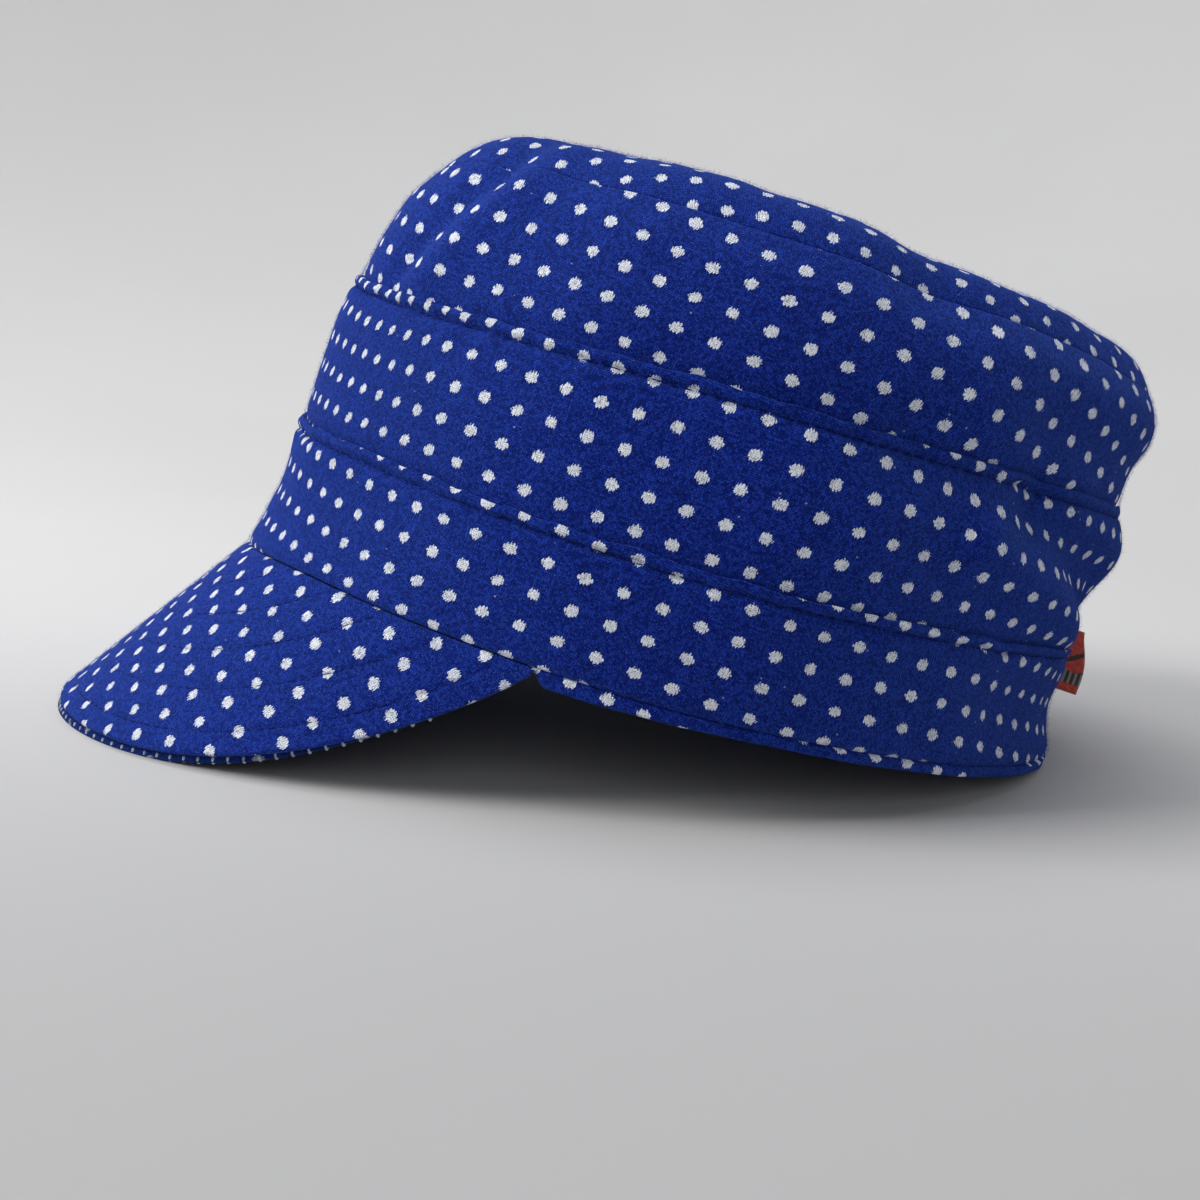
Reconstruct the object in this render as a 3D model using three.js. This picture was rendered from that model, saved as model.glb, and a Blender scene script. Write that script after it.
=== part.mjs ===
// A cadet cap of polka-dot jersey: two bands, an upper crown, a domed top and a short drooping peak.
// Millimetres, +Z up, the front towards -Y and the wearer's left towards +X.
// It rests on the edge of its peak and on the back of its hem.
import * as THREE from "three";
import { mergeVertices } from "three/addons/utils/BufferGeometryUtils.js";

// Driving dimensions of the crown
const HEM_LENGTH = 203; // outside of the hem, front to back
const HEM_WIDTH = 172; // outside of the hem, side to side
const HEM_RISE = 9; // the scale of the hem's climb from the front to the back
const LOWER_BAND_HEIGHT = 28.8; // hem to lower seam
const MID_BAND_HEIGHT = 33; // lower seam to upper seam
const CROWN_SIDE_HEIGHT = 28.5; // upper seam to the seam of the top panel
const TOP_RISE = 13; // crest of the top panel above its seam
const FOLD_DEPTH = 4; // depth of the deepest fold

// Driving dimensions of the cloth and its seams
const WALL = 1.5; // jersey with its interlining
const SWEATBAND_WALL = 1.5;
const SWEATBAND_HEIGHT = 20; // from the hem up, inside the lower band
const HEM_SHOW = 2.6; // what shows of the sweatband below the lower band
const SEAM_LAP = 5; // how far each band covers the piece above it
const SEAM_TUCK = 0.6; // how far the covered edge is pressed inwards
const CLEARANCE = 0.3; // between neighbouring pieces
const RESTING_PRESS = 0.8; // how far the cloth gives where it rests

// Driving dimensions of the peak and the tab
const PEAK_DEPTH = 59.5; // centre front, from the hem to the edge
const PEAK_DROOP = 55; // degrees below the plane of the hem
const PEAK_HALF_ANGLE = 78; // degrees round the hem from centre front to the peak's corner
const PEAK_COVER = 2.6; // upper cover with its board
const PEAK_UNDER_COVER = 1.3;
const PEAK_TIP = 2.5; // depth that is left at the very corner
const TAB_HEIGHT = 17;
const TAB_REACH = 7; // how far the tab stands out from the cap
const TAB_THICKNESS = 1.4;
const TAB_TOP = 2; // how far the tab reaches above the lower seam

// Finish
const JERSEY_BLUE = 0x1f3a9c;
const PEAK_BLUE = 0x1d3796;
const SWEATBAND_BLUE = 0x1b3187;
const TAB_RED = 0xb3352a;
const JERSEY_ROUGHNESS = 0.9;

// How fine the faceted solids are
const COLUMNS = 60; // round the crown
const PEAK_COLUMNS = 34; // across the peak
const NORMAL_STEP = 0.04; // in levels and radians, for measuring the skin's slope

// A level runs from 0 at the hem through 1 and 2 at the two seams to 3 at the top panel's seam
const HEM = 0;
const LOWER_SEAM = 1;
const UPPER_SEAM = 2;
const TOP_SEAM = 3;
const CREST = 4;

// Outline at each level: front and back as shares of the hem's half length, side of its half width
const OUTLINE = [
  { level: 0.0, front: 1.0, back: 1.0, side: 1.0 },
  { level: 0.45, front: 0.965, back: 0.975, side: 1.006 },
  { level: 1.0, front: 0.952, back: 0.96, side: 1.0 },
  { level: 1.35, front: 0.945, back: 0.965, side: 1.004 },
  { level: 1.7, front: 0.938, back: 0.98, side: 0.998 },
  { level: 2.0, front: 0.91, back: 0.94, side: 0.977 },
  { level: 2.35, front: 0.89, back: 0.963, side: 0.97 },
  { level: 2.75, front: 0.855, back: 0.955, side: 0.935 },
  { level: 3.0, front: 0.82, back: 0.925, side: 0.885 },
];

// Round the cap from centre front (0) to centre back (180): the hem's height as a share of HEM_RISE,
// and each band's own height as a share of its named height
const HEIGHTS = [
  { angle: 0, hem: -0.68, lower: 1.165, mid: 1.08, side: 0.87 },
  { angle: 45, hem: 0.04, lower: 0.975, mid: 0.965, side: 1.07 },
  { angle: 90, hem: 0.36, lower: 0.915, mid: 0.99, side: 1.0 },
  { angle: 135, hem: 0.78, lower: 0.91, mid: 0.965, side: 0.96 },
  { angle: 180, hem: 0.9, lower: 0.905, mid: 0.99, side: 0.82 },
];

// Top panel from its seam (reach 1) to its middle (reach 0): rise as a share of TOP_RISE
const DOME = [
  { reach: 0.0, rise: 1.0 },
  { reach: 0.35, rise: 0.985 },
  { reach: 0.58, rise: 0.93 },
  { reach: 0.76, rise: 0.83 },
  { reach: 0.88, rise: 0.66 },
  { reach: 0.95, rise: 0.43 },
  { reach: 1.0, rise: 0.0 },
];

// Folds and swells of the skin, each along a line from one angle and level to another.
// Angles are degrees round from centre front, positive on the wearer's left.
// Width is a share of the mid band's height, depth a share of FOLD_DEPTH, negative inwards.
const FOLDS = [
  { from: 56, fromLevel: 3.0, to: 40, toLevel: 2.15, width: 0.22, depth: -0.75 },
  { from: 38, fromLevel: 2.95, to: 26, toLevel: 2.45, width: 0.42, depth: 0.35 },
  { from: 110, fromLevel: 1.9, to: 158, toLevel: 1.2, width: 0.26, depth: -0.8 },
  { from: 118, fromLevel: 1.35, to: 150, toLevel: 1.05, width: 0.32, depth: 0.45 },
  { from: 160, fromLevel: 2.5, to: 180, toLevel: 2.6, width: 0.5, depth: 0.35 },
  { from: 108, fromLevel: 3.25, to: 150, toLevel: 3.45, width: 0.4, depth: -0.7 },
  { from: -50, fromLevel: 3.0, to: -38, toLevel: 2.3, width: 0.24, depth: -0.6 },
  { from: -115, fromLevel: 1.85, to: -152, toLevel: 1.3, width: 0.28, depth: -0.65 },
  { from: -120, fromLevel: 3.2, to: -155, toLevel: 3.4, width: 0.4, depth: -0.45 },
];

// Rows of each wall, as shares of its own band
const LOWER_ROWS = [0.25, 0.5, 0.7];
const MID_ROWS = [0.15, 0.35, 0.55, 0.72];
const CROWN_ROWS = [0.2, 0.42, 0.64, 0.84];
const DOME_ROWS = [0.97, 0.93, 0.87, 0.78, 0.64, 0.45, 0.22];
const PEAK_ROWS = [0, 0.12, 0.34, 0.6, 0.84, 1];

// A smooth curve through a table's rows; its ends are level where the shape is mirrored there
function curveThrough(rows, at, value, levelEnds = false) {
  const xs = rows.map((row) => row[at]);
  const ys = rows.map((row) => row[value]);
  const last = xs.length - 1;
  const slopes = ys.map((y, i) => {
    if (levelEnds && (i === 0 || i === last)) return 0;
    const a = Math.max(i - 1, 0);
    const b = Math.min(i + 1, last);
    return (ys[b] - ys[a]) / (xs[b] - xs[a]);
  });
  return (x) => {
    const above = xs.findIndex((limit, i) => i > 0 && x <= limit);
    const i = (above < 0 ? last : above) - 1;
    const span = xs[i + 1] - xs[i];
    const t = THREE.MathUtils.clamp((x - xs[i]) / span, 0, 1);
    const rise = t * t * (3 - 2 * t);
    const bow = t * (1 - t) * span * (slopes[i] * (1 - t) - slopes[i + 1] * t);
    return THREE.MathUtils.lerp(ys[i], ys[i + 1], rise) + bow;
  };
}

const frontShare = curveThrough(OUTLINE, "level", "front");
const backShare = curveThrough(OUTLINE, "level", "back");
const sideShare = curveThrough(OUTLINE, "level", "side");
const hemShare = curveThrough(HEIGHTS, "angle", "hem", true);
const lowerShare = curveThrough(HEIGHTS, "angle", "lower", true);
const midShare = curveThrough(HEIGHTS, "angle", "mid", true);
const crownShare = curveThrough(HEIGHTS, "angle", "side", true);
const domeShare = curveThrough(DOME, "reach", "rise");

const MIDDLE_HEIGHT = LOWER_BAND_HEIGHT + MID_BAND_HEIGHT + CROWN_SIDE_HEIGHT;
const MEAN_RADIUS = (HEM_LENGTH + HEM_WIDTH) / 4;

// Height of the skin above the plane of the hem
function heightAt(angle, level) {
  const round = Math.abs(THREE.MathUtils.radToDeg(Math.atan2(Math.sin(angle), Math.cos(angle))));
  const lower = Math.min(level, LOWER_SEAM) * LOWER_BAND_HEIGHT * lowerShare(round);
  const mid = THREE.MathUtils.clamp(level - LOWER_SEAM, 0, 1) * MID_BAND_HEIGHT * midShare(round);
  const side = THREE.MathUtils.clamp(level - UPPER_SEAM, 0, 1) * CROWN_SIDE_HEIGHT * crownShare(round);
  return HEM_RISE * hemShare(round) + lower + mid + side;
}

// How far the folds push the skin out at an angle and a level
function foldAt(angle, level) {
  let push = 0;
  for (const fold of FOLDS) {
    const turn = THREE.MathUtils.euclideanModulo(
      THREE.MathUtils.radToDeg(angle) - fold.from + 180, 360) - 180;
    const perDegree = THREE.MathUtils.degToRad(MEAN_RADIUS);
    const here = new THREE.Vector2(turn * perDegree, (level - fold.fromLevel) * MID_BAND_HEIGHT);
    const along = new THREE.Vector2(
      (fold.to - fold.from) * perDegree, (fold.toLevel - fold.fromLevel) * MID_BAND_HEIGHT);
    const share = THREE.MathUtils.clamp(here.dot(along) / along.lengthSq(), 0, 1);
    const away = here.distanceTo(along.multiplyScalar(share)) / (fold.width * MID_BAND_HEIGHT);
    push += fold.depth * FOLD_DEPTH * Math.exp(-away * away);
  }
  return push;
}

// The plain skin without folds: an oval whose front and back halves differ, closed by the dome
function ovalAt(angle, level) {
  const wall = Math.min(level, TOP_SEAM);
  const lengthShare = Math.cos(angle) > 0 ? frontShare(wall) : backShare(wall);
  const point = new THREE.Vector3(
    Math.sin(angle) * sideShare(wall) * HEM_WIDTH / 2,
    -Math.cos(angle) * lengthShare * HEM_LENGTH / 2,
    heightAt(angle, wall));
  if (level <= TOP_SEAM) return point;
  const reach = Math.max(CREST - level, 0);
  point.x *= reach;
  point.y = THREE.MathUtils.lerp(MIDDLE_OF_TOP, point.y, reach);
  point.z = THREE.MathUtils.lerp(MIDDLE_HEIGHT, point.z, reach) + TOP_RISE * domeShare(reach);
  return point;
}
const MIDDLE_OF_TOP = (backShare(TOP_SEAM) - frontShare(TOP_SEAM)) * HEM_LENGTH / 4;

// Outward direction of the plain skin: level round the bands, square to the skin round the top
function normalAt(angle, level) {
  const steepest = Math.min(level, CREST - NORMAL_STEP * 2);
  const round = ovalAt(angle + NORMAL_STEP, steepest).sub(ovalAt(angle - NORMAL_STEP, steepest));
  const up = ovalAt(angle, steepest + NORMAL_STEP).sub(ovalAt(angle, steepest - NORMAL_STEP));
  const normal = round.cross(up).normalize();
  normal.z *= THREE.MathUtils.smoothstep(level, UPPER_SEAM, TOP_SEAM);
  return normal.normalize();
}

// A point of the skin, pushed out by its folds and by an offset of its own
function skinAt(angle, level, out) {
  const push = foldAt(angle, level) + out;
  return ovalAt(angle, level).addScaledVector(normalAt(angle, level), push);
}

// The level that lies a length above a seam, or below it where the length is negative
const EDGE_REACH = DOME[DOME.length - 2].reach;
const TOP_EDGE_LENGTH = Math.hypot(HEM_WIDTH / 2, TOP_RISE * domeShare(EDGE_REACH) / (1 - EDGE_REACH));
const LEVEL_LENGTHS = [LOWER_BAND_HEIGHT, MID_BAND_HEIGHT, CROWN_SIDE_HEIGHT, TOP_EDGE_LENGTH];
function levelBy(seam, length) {
  const band = length < 0 ? Math.max(seam - 1, HEM) : seam;
  return seam + length / LEVEL_LENGTHS[band];
}

// A closed solid from a grid of points that is closed in its section and closed or capped round.
// Quads that climb and quads that fall are split so that facing walls share their diagonals.
function loft(sections, closedRound) {
  const corners = sections[0].length;
  const positions = sections.flat().flatMap((point) => point.toArray());
  const faces = [];
  const at = (i, k) => (i % sections.length) * corners + (k % corners);
  const steps = closedRound ? sections.length : sections.length - 1;
  for (let i = 0; i < steps; i++) {
    for (let k = 0; k < corners; k++) {
      const climbs = sections[i][(k + 1) % corners].z > sections[i][k].z;
      const [a, b, c, d] = [at(i, k), at(i + 1, k), at(i + 1, k + 1), at(i, k + 1)];
      faces.push(...(climbs ? [a, b, c, a, c, d] : [a, b, d, b, c, d]));
    }
  }
  return { positions, faces, at };
}

function toGeometry({ positions, faces }) {
  const geometry = new THREE.BufferGeometry();
  geometry.setAttribute("position", new THREE.Float32BufferAttribute(positions, 3));
  geometry.setIndex(faces);
  return mergeVertices(geometry);
}

// A ring of cloth round the crown; its section lists corners as a level and an offset,
// up the outside first and down the inside last
function clothRing(section) {
  const sections = [];
  for (let i = 0; i < COLUMNS; i++) {
    const angle = (i / COLUMNS) * Math.PI * 2;
    sections.push(section(angle).map(([level, out]) => skinAt(angle, level, out)));
  }
  return toGeometry(loft(sections, true));
}

// Offsets of a band's covering edge, which lies over the tucked edge of the piece above it
const COVER_INNER = CLEARANCE - SEAM_TUCK;
const COVER_OUTER = COVER_INNER + WALL;

// Corners of a band: a tucked lower edge where something covers it, and a covering upper edge
function bandSection(bottom, top, rows, tucked) {
  const start = tucked ? levelBy(bottom, CLEARANCE - SEAM_LAP) : bottom;
  const startOut = tucked ? -SEAM_TUCK : 0;
  const outer = [
    [start, startOut],
    ...(tucked ? [[levelBy(bottom, CLEARANCE), startOut]] : []),
    ...rows.map((share) => [bottom + share * (top - bottom), 0]),
    [levelBy(top, -SEAM_LAP - WALL), 0],
    [levelBy(top, -SEAM_LAP + WALL), COVER_OUTER],
    [levelBy(top, -WALL / 2), COVER_OUTER],
    [top, COVER_OUTER - WALL / 3],
  ];
  const inner = [
    [top, COVER_INNER],
    [levelBy(top, -SEAM_LAP - CLEARANCE), COVER_INNER],
    [levelBy(top, -SEAM_LAP - WALL - CLEARANCE), -WALL],
    [(bottom + top) / 2, -WALL],
    ...(tucked ? [[levelBy(bottom, WALL), -WALL - SEAM_TUCK]] : []),
    [start, startOut - WALL],
  ];
  return [...outer, ...inner];
}

function lowerBand() {
  const section = bandSection(HEM, LOWER_SEAM, LOWER_ROWS, false);
  return clothRing(() => section);
}

function midBand() {
  const section = bandSection(LOWER_SEAM, UPPER_SEAM, MID_ROWS, true);
  return clothRing(() => section);
}

function crownSide() {
  const start = levelBy(UPPER_SEAM, CLEARANCE - SEAM_LAP);
  const end = levelBy(TOP_SEAM, -CLEARANCE / 2);
  const section = [
    [start, -SEAM_TUCK],
    [levelBy(UPPER_SEAM, CLEARANCE), -SEAM_TUCK],
    ...CROWN_ROWS.map((share) => [UPPER_SEAM + share, 0]),
    [end, 0],
    [end, -WALL],
    [UPPER_SEAM + CROWN_ROWS[2], -WALL],
    [UPPER_SEAM + CROWN_ROWS[0], -WALL],
    [levelBy(UPPER_SEAM, WALL), -WALL - SEAM_TUCK],
    [start, -WALL - SEAM_TUCK],
  ];
  return clothRing(() => section);
}

// The top panel: an outer and an inner dome joined round the seam
function crownTop() {
  const start = levelBy(TOP_SEAM, CLEARANCE / 2);
  const rows = [start, ...DOME_ROWS.map((reach) => CREST - reach)];
  const sections = [];
  for (let i = 0; i < COLUMNS; i++) {
    const angle = (i / COLUMNS) * Math.PI * 2;
    const outer = rows.map((level) => skinAt(angle, level, 0));
    const inner = rows.map((level) => skinAt(angle, level, -WALL));
    sections.push([...outer, ...inner.reverse()]);
  }
  const { positions, faces, at } = loft(sections, true);
  const last = rows.length - 1;
  const open = faces.filter((_, n) => {
    const corner = Math.floor((n % (rows.length * 2 * 6)) / 6);
    return corner !== last;
  });
  const poles = [0, -WALL].map((out) => {
    const pole = ovalAt(0, CREST);
    pole.z += out;
    positions.push(...pole.toArray());
    return positions.length / 3 - 1;
  });
  for (let i = 0; i < COLUMNS; i++) {
    open.push(at(i, last), at(i + 1, last), poles[0]);
    open.push(at(i + 1, last + 1), at(i, last + 1), poles[1]);
  }
  return toGeometry({ positions, faces: open });
}

// The sweatband lines the lower band and shows below it, except where the peak is sewn on
function sweatband() {
  const top = levelBy(HEM, SWEATBAND_HEIGHT);
  const out = -WALL - CLEARANCE;
  const lip = -WALL / 2;
  return clothRing((angle) => {
    const round = Math.abs(THREE.MathUtils.radToDeg(Math.atan2(Math.sin(angle), Math.cos(angle))));
    const show = THREE.MathUtils.smoothstep(round, PEAK_HALF_ANGLE + 1, PEAK_HALF_ANGLE + 11);
    const bottom = levelBy(HEM, -HEM_SHOW * show);
    const shoulder = levelBy(HEM, -CLEARANCE * 2) * show;
    const lipOut = THREE.MathUtils.lerp(out, lip, show);
    return [
      [bottom, lipOut - WALL / 3 * show],
      [bottom * 0.8, lipOut],
      [shoulder, lipOut],
      [shoulder / 2, out],
      [top / 2, out],
      [top, out],
      [top, out - SWEATBAND_WALL],
      [top / 2, out - SWEATBAND_WALL],
      [0, out - SWEATBAND_WALL],
      [bottom, lipOut - SWEATBAND_WALL],
    ];
  });
}

// Depth of the peak from the hem to its edge, rounding off towards its corners
function peakDepth(angle) {
  const share = Math.abs(THREE.MathUtils.radToDeg(angle)) / PEAK_HALF_ANGLE;
  return PEAK_TIP + (PEAK_DEPTH - PEAK_TIP) * Math.pow(Math.max(1 - Math.pow(share, 5), 0), 0.75);
}

// The peak is a sweep of the hem's curve forwards and down; insets are measured level, towards the head
const PEAK_ANGLE = THREE.MathUtils.degToRad(PEAK_DROOP);
const PEAK_WAY = new THREE.Vector3(0, -Math.cos(PEAK_ANGLE), -Math.sin(PEAK_ANGLE));

function peakAt(angle, share, inset, depth) {
  const inward = normalAt(angle, HEM).negate();
  const squareEdge = -inset * inward.dot(PEAK_WAY);
  return ovalAt(angle, HEM)
    .add(new THREE.Vector3(0, 0, -CLEARANCE))
    .addScaledVector(inward, inset)
    .addScaledVector(PEAK_WAY, (depth + squareEdge) * share);
}

// One layer of the peak between two insets, capped at both corners
function peakLayer(top, bottom, edgeInset) {
  const end = THREE.MathUtils.degToRad(PEAK_HALF_ANGLE);
  const sections = [];
  for (let i = 0; i <= PEAK_COLUMNS; i++) {
    const angle = THREE.MathUtils.lerp(-end, end, i / PEAK_COLUMNS);
    const depth = peakDepth(angle) - edgeInset;
    const upper = PEAK_ROWS.map((share) => peakAt(angle, share, top, depth));
    const lower = PEAK_ROWS.map((share) => peakAt(angle, share, bottom, depth));
    sections.push([...upper.reverse(), ...lower]);
  }
  const { positions, faces, at } = loft(sections, false);
  const corners = PEAK_ROWS.length;
  for (let k = 0; k < corners - 1; k++) {
    const facing = corners * 2 - 1 - k;
    faces.push(at(0, k), at(0, k + 1), at(0, facing - 1));
    faces.push(at(0, k), at(0, facing - 1), at(0, facing));
    faces.push(at(PEAK_COLUMNS, k + 1), at(PEAK_COLUMNS, k), at(PEAK_COLUMNS, facing - 1));
    faces.push(at(PEAK_COLUMNS, k), at(PEAK_COLUMNS, facing), at(PEAK_COLUMNS, facing - 1));
  }
  return toGeometry({ positions, faces });
}

function peakTop() {
  return peakLayer(0, PEAK_COVER, 0);
}

function peakUnder() {
  const start = PEAK_COVER + CLEARANCE;
  return peakLayer(start, start + PEAK_UNDER_COVER, 0);
}

// A small folded tab that stands out from the centre back, from just above the lower seam down
function labelTab() {
  const topLevel = levelBy(LOWER_SEAM, TAB_TOP);
  const bottomLevel = levelBy(LOWER_SEAM, TAB_TOP - TAB_HEIGHT);
  const root = COVER_OUTER + CLEARANCE;
  const corner = (level, out) => {
    const point = skinAt(Math.PI, level, out);
    return new THREE.Vector2(point.y, point.z);
  };
  const outline = new THREE.Shape([
    corner(bottomLevel, root),
    corner(bottomLevel, root + TAB_REACH),
    corner(topLevel, root + TAB_REACH),
    corner(topLevel, root),
  ]);
  const geometry = new THREE.ExtrudeGeometry(outline, { depth: TAB_THICKNESS, bevelEnabled: false });
  geometry.translate(0, 0, -TAB_THICKNESS / 2);
  geometry.applyMatrix4(new THREE.Matrix4().makeBasis(
    new THREE.Vector3(0, 1, 0), new THREE.Vector3(0, 0, 1), new THREE.Vector3(1, 0, 0)));
  return geometry;
}

// Height of the lowest point of some geometries once they are tilted
function lowest(geometries, tilt) {
  const turn = new THREE.Matrix4().makeRotationX(-tilt);
  return Math.min(...geometries.map((geometry) => {
    const turned = geometry.clone().applyMatrix4(turn);
    turned.computeBoundingBox();
    return turned.boundingBox.min.z;
  }));
}

// The tilt at which the peak and the back of the hem touch the surface together
function restingTilt(peak, hem) {
  let low = 0;
  let high = Math.PI / 4;
  while (high - low > 1e-6) {
    const tilt = (low + high) / 2;
    if (lowest(peak, tilt) < lowest(hem, tilt)) low = tilt;
    else high = tilt;
  }
  return low;
}

// Cloth that would lie below the surface is pressed flat on it
function pressFlat(geometry, placement) {
  const back = placement.clone().invert();
  const position = geometry.getAttribute("position");
  const point = new THREE.Vector3();
  for (let i = 0; i < position.count; i++) {
    point.fromBufferAttribute(position, i).applyMatrix4(placement);
    if (point.z > 0) continue;
    point.setZ(0).applyMatrix4(back);
    position.setXYZ(i, point.x, point.y, point.z);
  }
  return geometry;
}

const cloth = (color) => new THREE.MeshStandardMaterial({ color, roughness: JERSEY_ROUGHNESS, metalness: 0 });

const pieces = {
  lower_band: { geometry: lowerBand(), material: cloth(JERSEY_BLUE) },
  mid_band: { geometry: midBand(), material: cloth(JERSEY_BLUE) },
  crown_side: { geometry: crownSide(), material: cloth(JERSEY_BLUE) },
  crown_top: { geometry: crownTop(), material: cloth(JERSEY_BLUE) },
  sweatband: { geometry: sweatband(), material: cloth(SWEATBAND_BLUE) },
  peak_top: { geometry: peakTop(), material: cloth(PEAK_BLUE) },
  peak_under: { geometry: peakUnder(), material: cloth(PEAK_BLUE) },
  label_tab: { geometry: labelTab(), material: cloth(TAB_RED) },
};

const peak = [pieces.peak_top.geometry, pieces.peak_under.geometry];
const hem = [pieces.sweatband.geometry];
const tilt = restingTilt(peak, hem);
const ground = lowest(hem, tilt) + RESTING_PRESS;

const cap = new THREE.Group();
cap.rotation.x = -tilt;
cap.position.z = -ground;
cap.updateMatrix();
for (const [name, { geometry, material }] of Object.entries(pieces)) {
  const mesh = new THREE.Mesh(pressFlat(geometry, cap.matrix), material);
  mesh.name = name;
  cap.add(mesh);
}

// The origin lies on the surface, under the middle of the cap
const extent = new THREE.Box3().setFromObject(cap);
cap.position.y = -(extent.min.y + extent.max.y) / 2;
cap.position.x = -(extent.min.x + extent.max.x) / 2;

export default cap;
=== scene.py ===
import math
from contextlib import contextmanager
from types import SimpleNamespace

import bpy
import numpy as np
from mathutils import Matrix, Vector


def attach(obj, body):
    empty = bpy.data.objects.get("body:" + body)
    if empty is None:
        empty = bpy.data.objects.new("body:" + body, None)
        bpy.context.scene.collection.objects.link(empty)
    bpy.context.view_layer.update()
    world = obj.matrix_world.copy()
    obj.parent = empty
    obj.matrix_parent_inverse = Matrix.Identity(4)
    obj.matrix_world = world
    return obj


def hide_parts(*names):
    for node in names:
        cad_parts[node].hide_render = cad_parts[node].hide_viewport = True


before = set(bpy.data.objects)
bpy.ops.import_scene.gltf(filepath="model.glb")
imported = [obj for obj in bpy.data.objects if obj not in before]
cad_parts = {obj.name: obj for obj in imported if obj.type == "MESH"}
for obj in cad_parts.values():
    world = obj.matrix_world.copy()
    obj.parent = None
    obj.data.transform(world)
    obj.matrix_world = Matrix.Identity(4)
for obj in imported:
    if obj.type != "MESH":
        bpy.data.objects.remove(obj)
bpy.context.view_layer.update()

bl_info = {
    "name": "Polka dot cadet cap",
    "version": (1, 0, 0),
    "blender": (4, 5, 0),
    "location": "3D View > Sidebar > Cap",
    "description": "Sews a soft cadet cap of polka dot jersey, piece by piece",
    "category": "Add Mesh",
}

MM = 0.001

# How the cap lies on the floor: turned nose down, then moved (mm)
RESTING_TILT = math.radians(15.099)
RESTING_PLACE = np.array([0.0, 13.0502, 19.7653])

# Levels of the crown run from the hem through the two lapped seams and the top seam to the crest
HEM, LOWER_SEAM, UPPER_SEAM, TOP_SEAM, CREST = range(5)


def table(names, *rows):
    """Rows of numbers as named columns."""
    return {name: np.array(column, float) for name, column in zip(names.split(), zip(*rows))}


# Outline at each level: front and back as shares of the hem's half length, side of its half width
OUTLINE = table(
    "level front back side",
    (0.0, 1.0, 1.0, 1.0),
    (0.45, 0.965, 0.975, 1.006),
    (1.0, 0.952, 0.96, 1.0),
    (1.35, 0.945, 0.965, 1.004),
    (1.7, 0.938, 0.98, 0.998),
    (2.0, 0.91, 0.94, 0.977),
    (2.35, 0.89, 0.963, 0.97),
    (2.75, 0.855, 0.955, 0.935),
    (3.0, 0.82, 0.925, 0.885))

# Round from centre front (0) to centre back (180): the hem's height and each band's own height,
# as shares of their named sizes
HEIGHTS = table(
    "angle hem lower mid side",
    (0, -0.68, 1.165, 1.08, 0.87),
    (45, 0.04, 0.975, 0.965, 1.07),
    (90, 0.36, 0.915, 0.99, 1.0),
    (135, 0.78, 0.91, 0.965, 0.96),
    (180, 0.9, 0.905, 0.99, 0.82))

# Top panel from its middle (reach 0) to its seam (reach 1): rise as a share of the whole
DOME = table(
    "reach rise",
    (0.0, 1.0), (0.35, 0.985), (0.58, 0.93), (0.76, 0.83), (0.88, 0.66), (0.95, 0.43), (1.0, 0.0))

# Folds and swells, each along a line from one angle and level to another. Then the width as a
# share of the mid band's height, and the depth as a share of the deepest fold, negative inwards
FOLDS = (
    (46, 2.93, 34.5, 2.14, 0.15, -0.42),
    (52.5, 2.9, 43, 2.2, 0.19, 0.38),
    (36, 2.95, 26, 2.45, 0.42, 0.3),
    (110, 1.95, 128, 1.8, 0.26, -0.5),
    (130, 1.82, 149, 1.5, 0.2, -1.0),
    (122, 1.56, 150, 1.1, 0.2, 0.85),
    (154, 1.2, 180, 1.16, 0.3, -0.8),
    (128, 2.38, 180, 2.3, 0.23, -0.68),
    (136, 0.42, 180, 0.42, 0.34, -0.6),
    (108, 3.25, 150, 3.45, 0.4, -0.7),
    (-50, 3.0, -38, 2.3, 0.24, -0.6),
    (-115, 1.85, -152, 1.3, 0.28, -0.65),
    (-120, 3.2, -155, 3.4, 0.4, -0.45))

# How the jersey's grain lies in each piece, counted in dots: along and up the piece at its lower
# and its upper edge, for each arc (mm) round from the centre front
GRAIN = "arc along_low along_high up_low up_high"
LOWER_GRAIN = table(
    GRAIN,
    (0, 0.83, 0.65, 0.65, 4.98),
    (26, 4.64, 4.03, 0.87, 5.32),
    (48, 7.73, 7.02, 1.12, 5.62),
    (72, 10.97, 10.54, 1.56, 5.86),
    (100, 14.66, 14.40, 1.82, 5.97),
    (135, 19.25, 18.96, 2.13, 6.25),
    (170, 23.86, 23.59, 2.78, 6.87),
    (205, 28.32, 28.43, 3.14, 7.21),
    (235, 32.15, 32.54, 3.66, 7.77),
    (285, 38.82, 38.96, 4.47, 8.68))
MID_GRAIN = table(
    GRAIN,
    (0, 0.64, 0.52, 0.92, 5.80),
    (28, 5.24, 4.22, 1.06, 5.95),
    (46, 8.19, 6.64, 1.16, 6.08),
    (64, 10.99, 9.56, 1.21, 6.11),
    (84, 13.74, 13.15, 1.24, 6.05),
    (110, 17.15, 16.86, 1.38, 6.24),
    (145, 21.91, 21.62, 1.60, 6.51),
    (180, 26.60, 26.12, 1.94, 6.86),
    (215, 31.36, 31.85, 2.33, 7.58),
    (245, 35.87, 36.22, 2.85, 7.85),
    (285, 41.88, 41.93, 3.37, 8.23))
SIDE_GRAIN = table(
    GRAIN,
    (0, 0.84, 1.04, 0.12, 4.28),
    (30, 4.39, 4.70, 0.54, 4.90),
    (48, 6.61, 6.71, 0.81, 5.42),
    (66, 8.79, 8.70, 0.96, 5.66),
    (90, 12.01, 11.75, 1.20, 5.87),
    (125, 17.04, 16.26, 1.87, 6.63),
    (165, 22.19, 21.35, 3.10, 7.12),
    (200, 26.71, 25.68, 4.45, 8.43),
    (232, 30.39, 29.82, 5.55, 9.57),
    (285, 36.66, 36.66, 6.98, 11.16))
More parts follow.
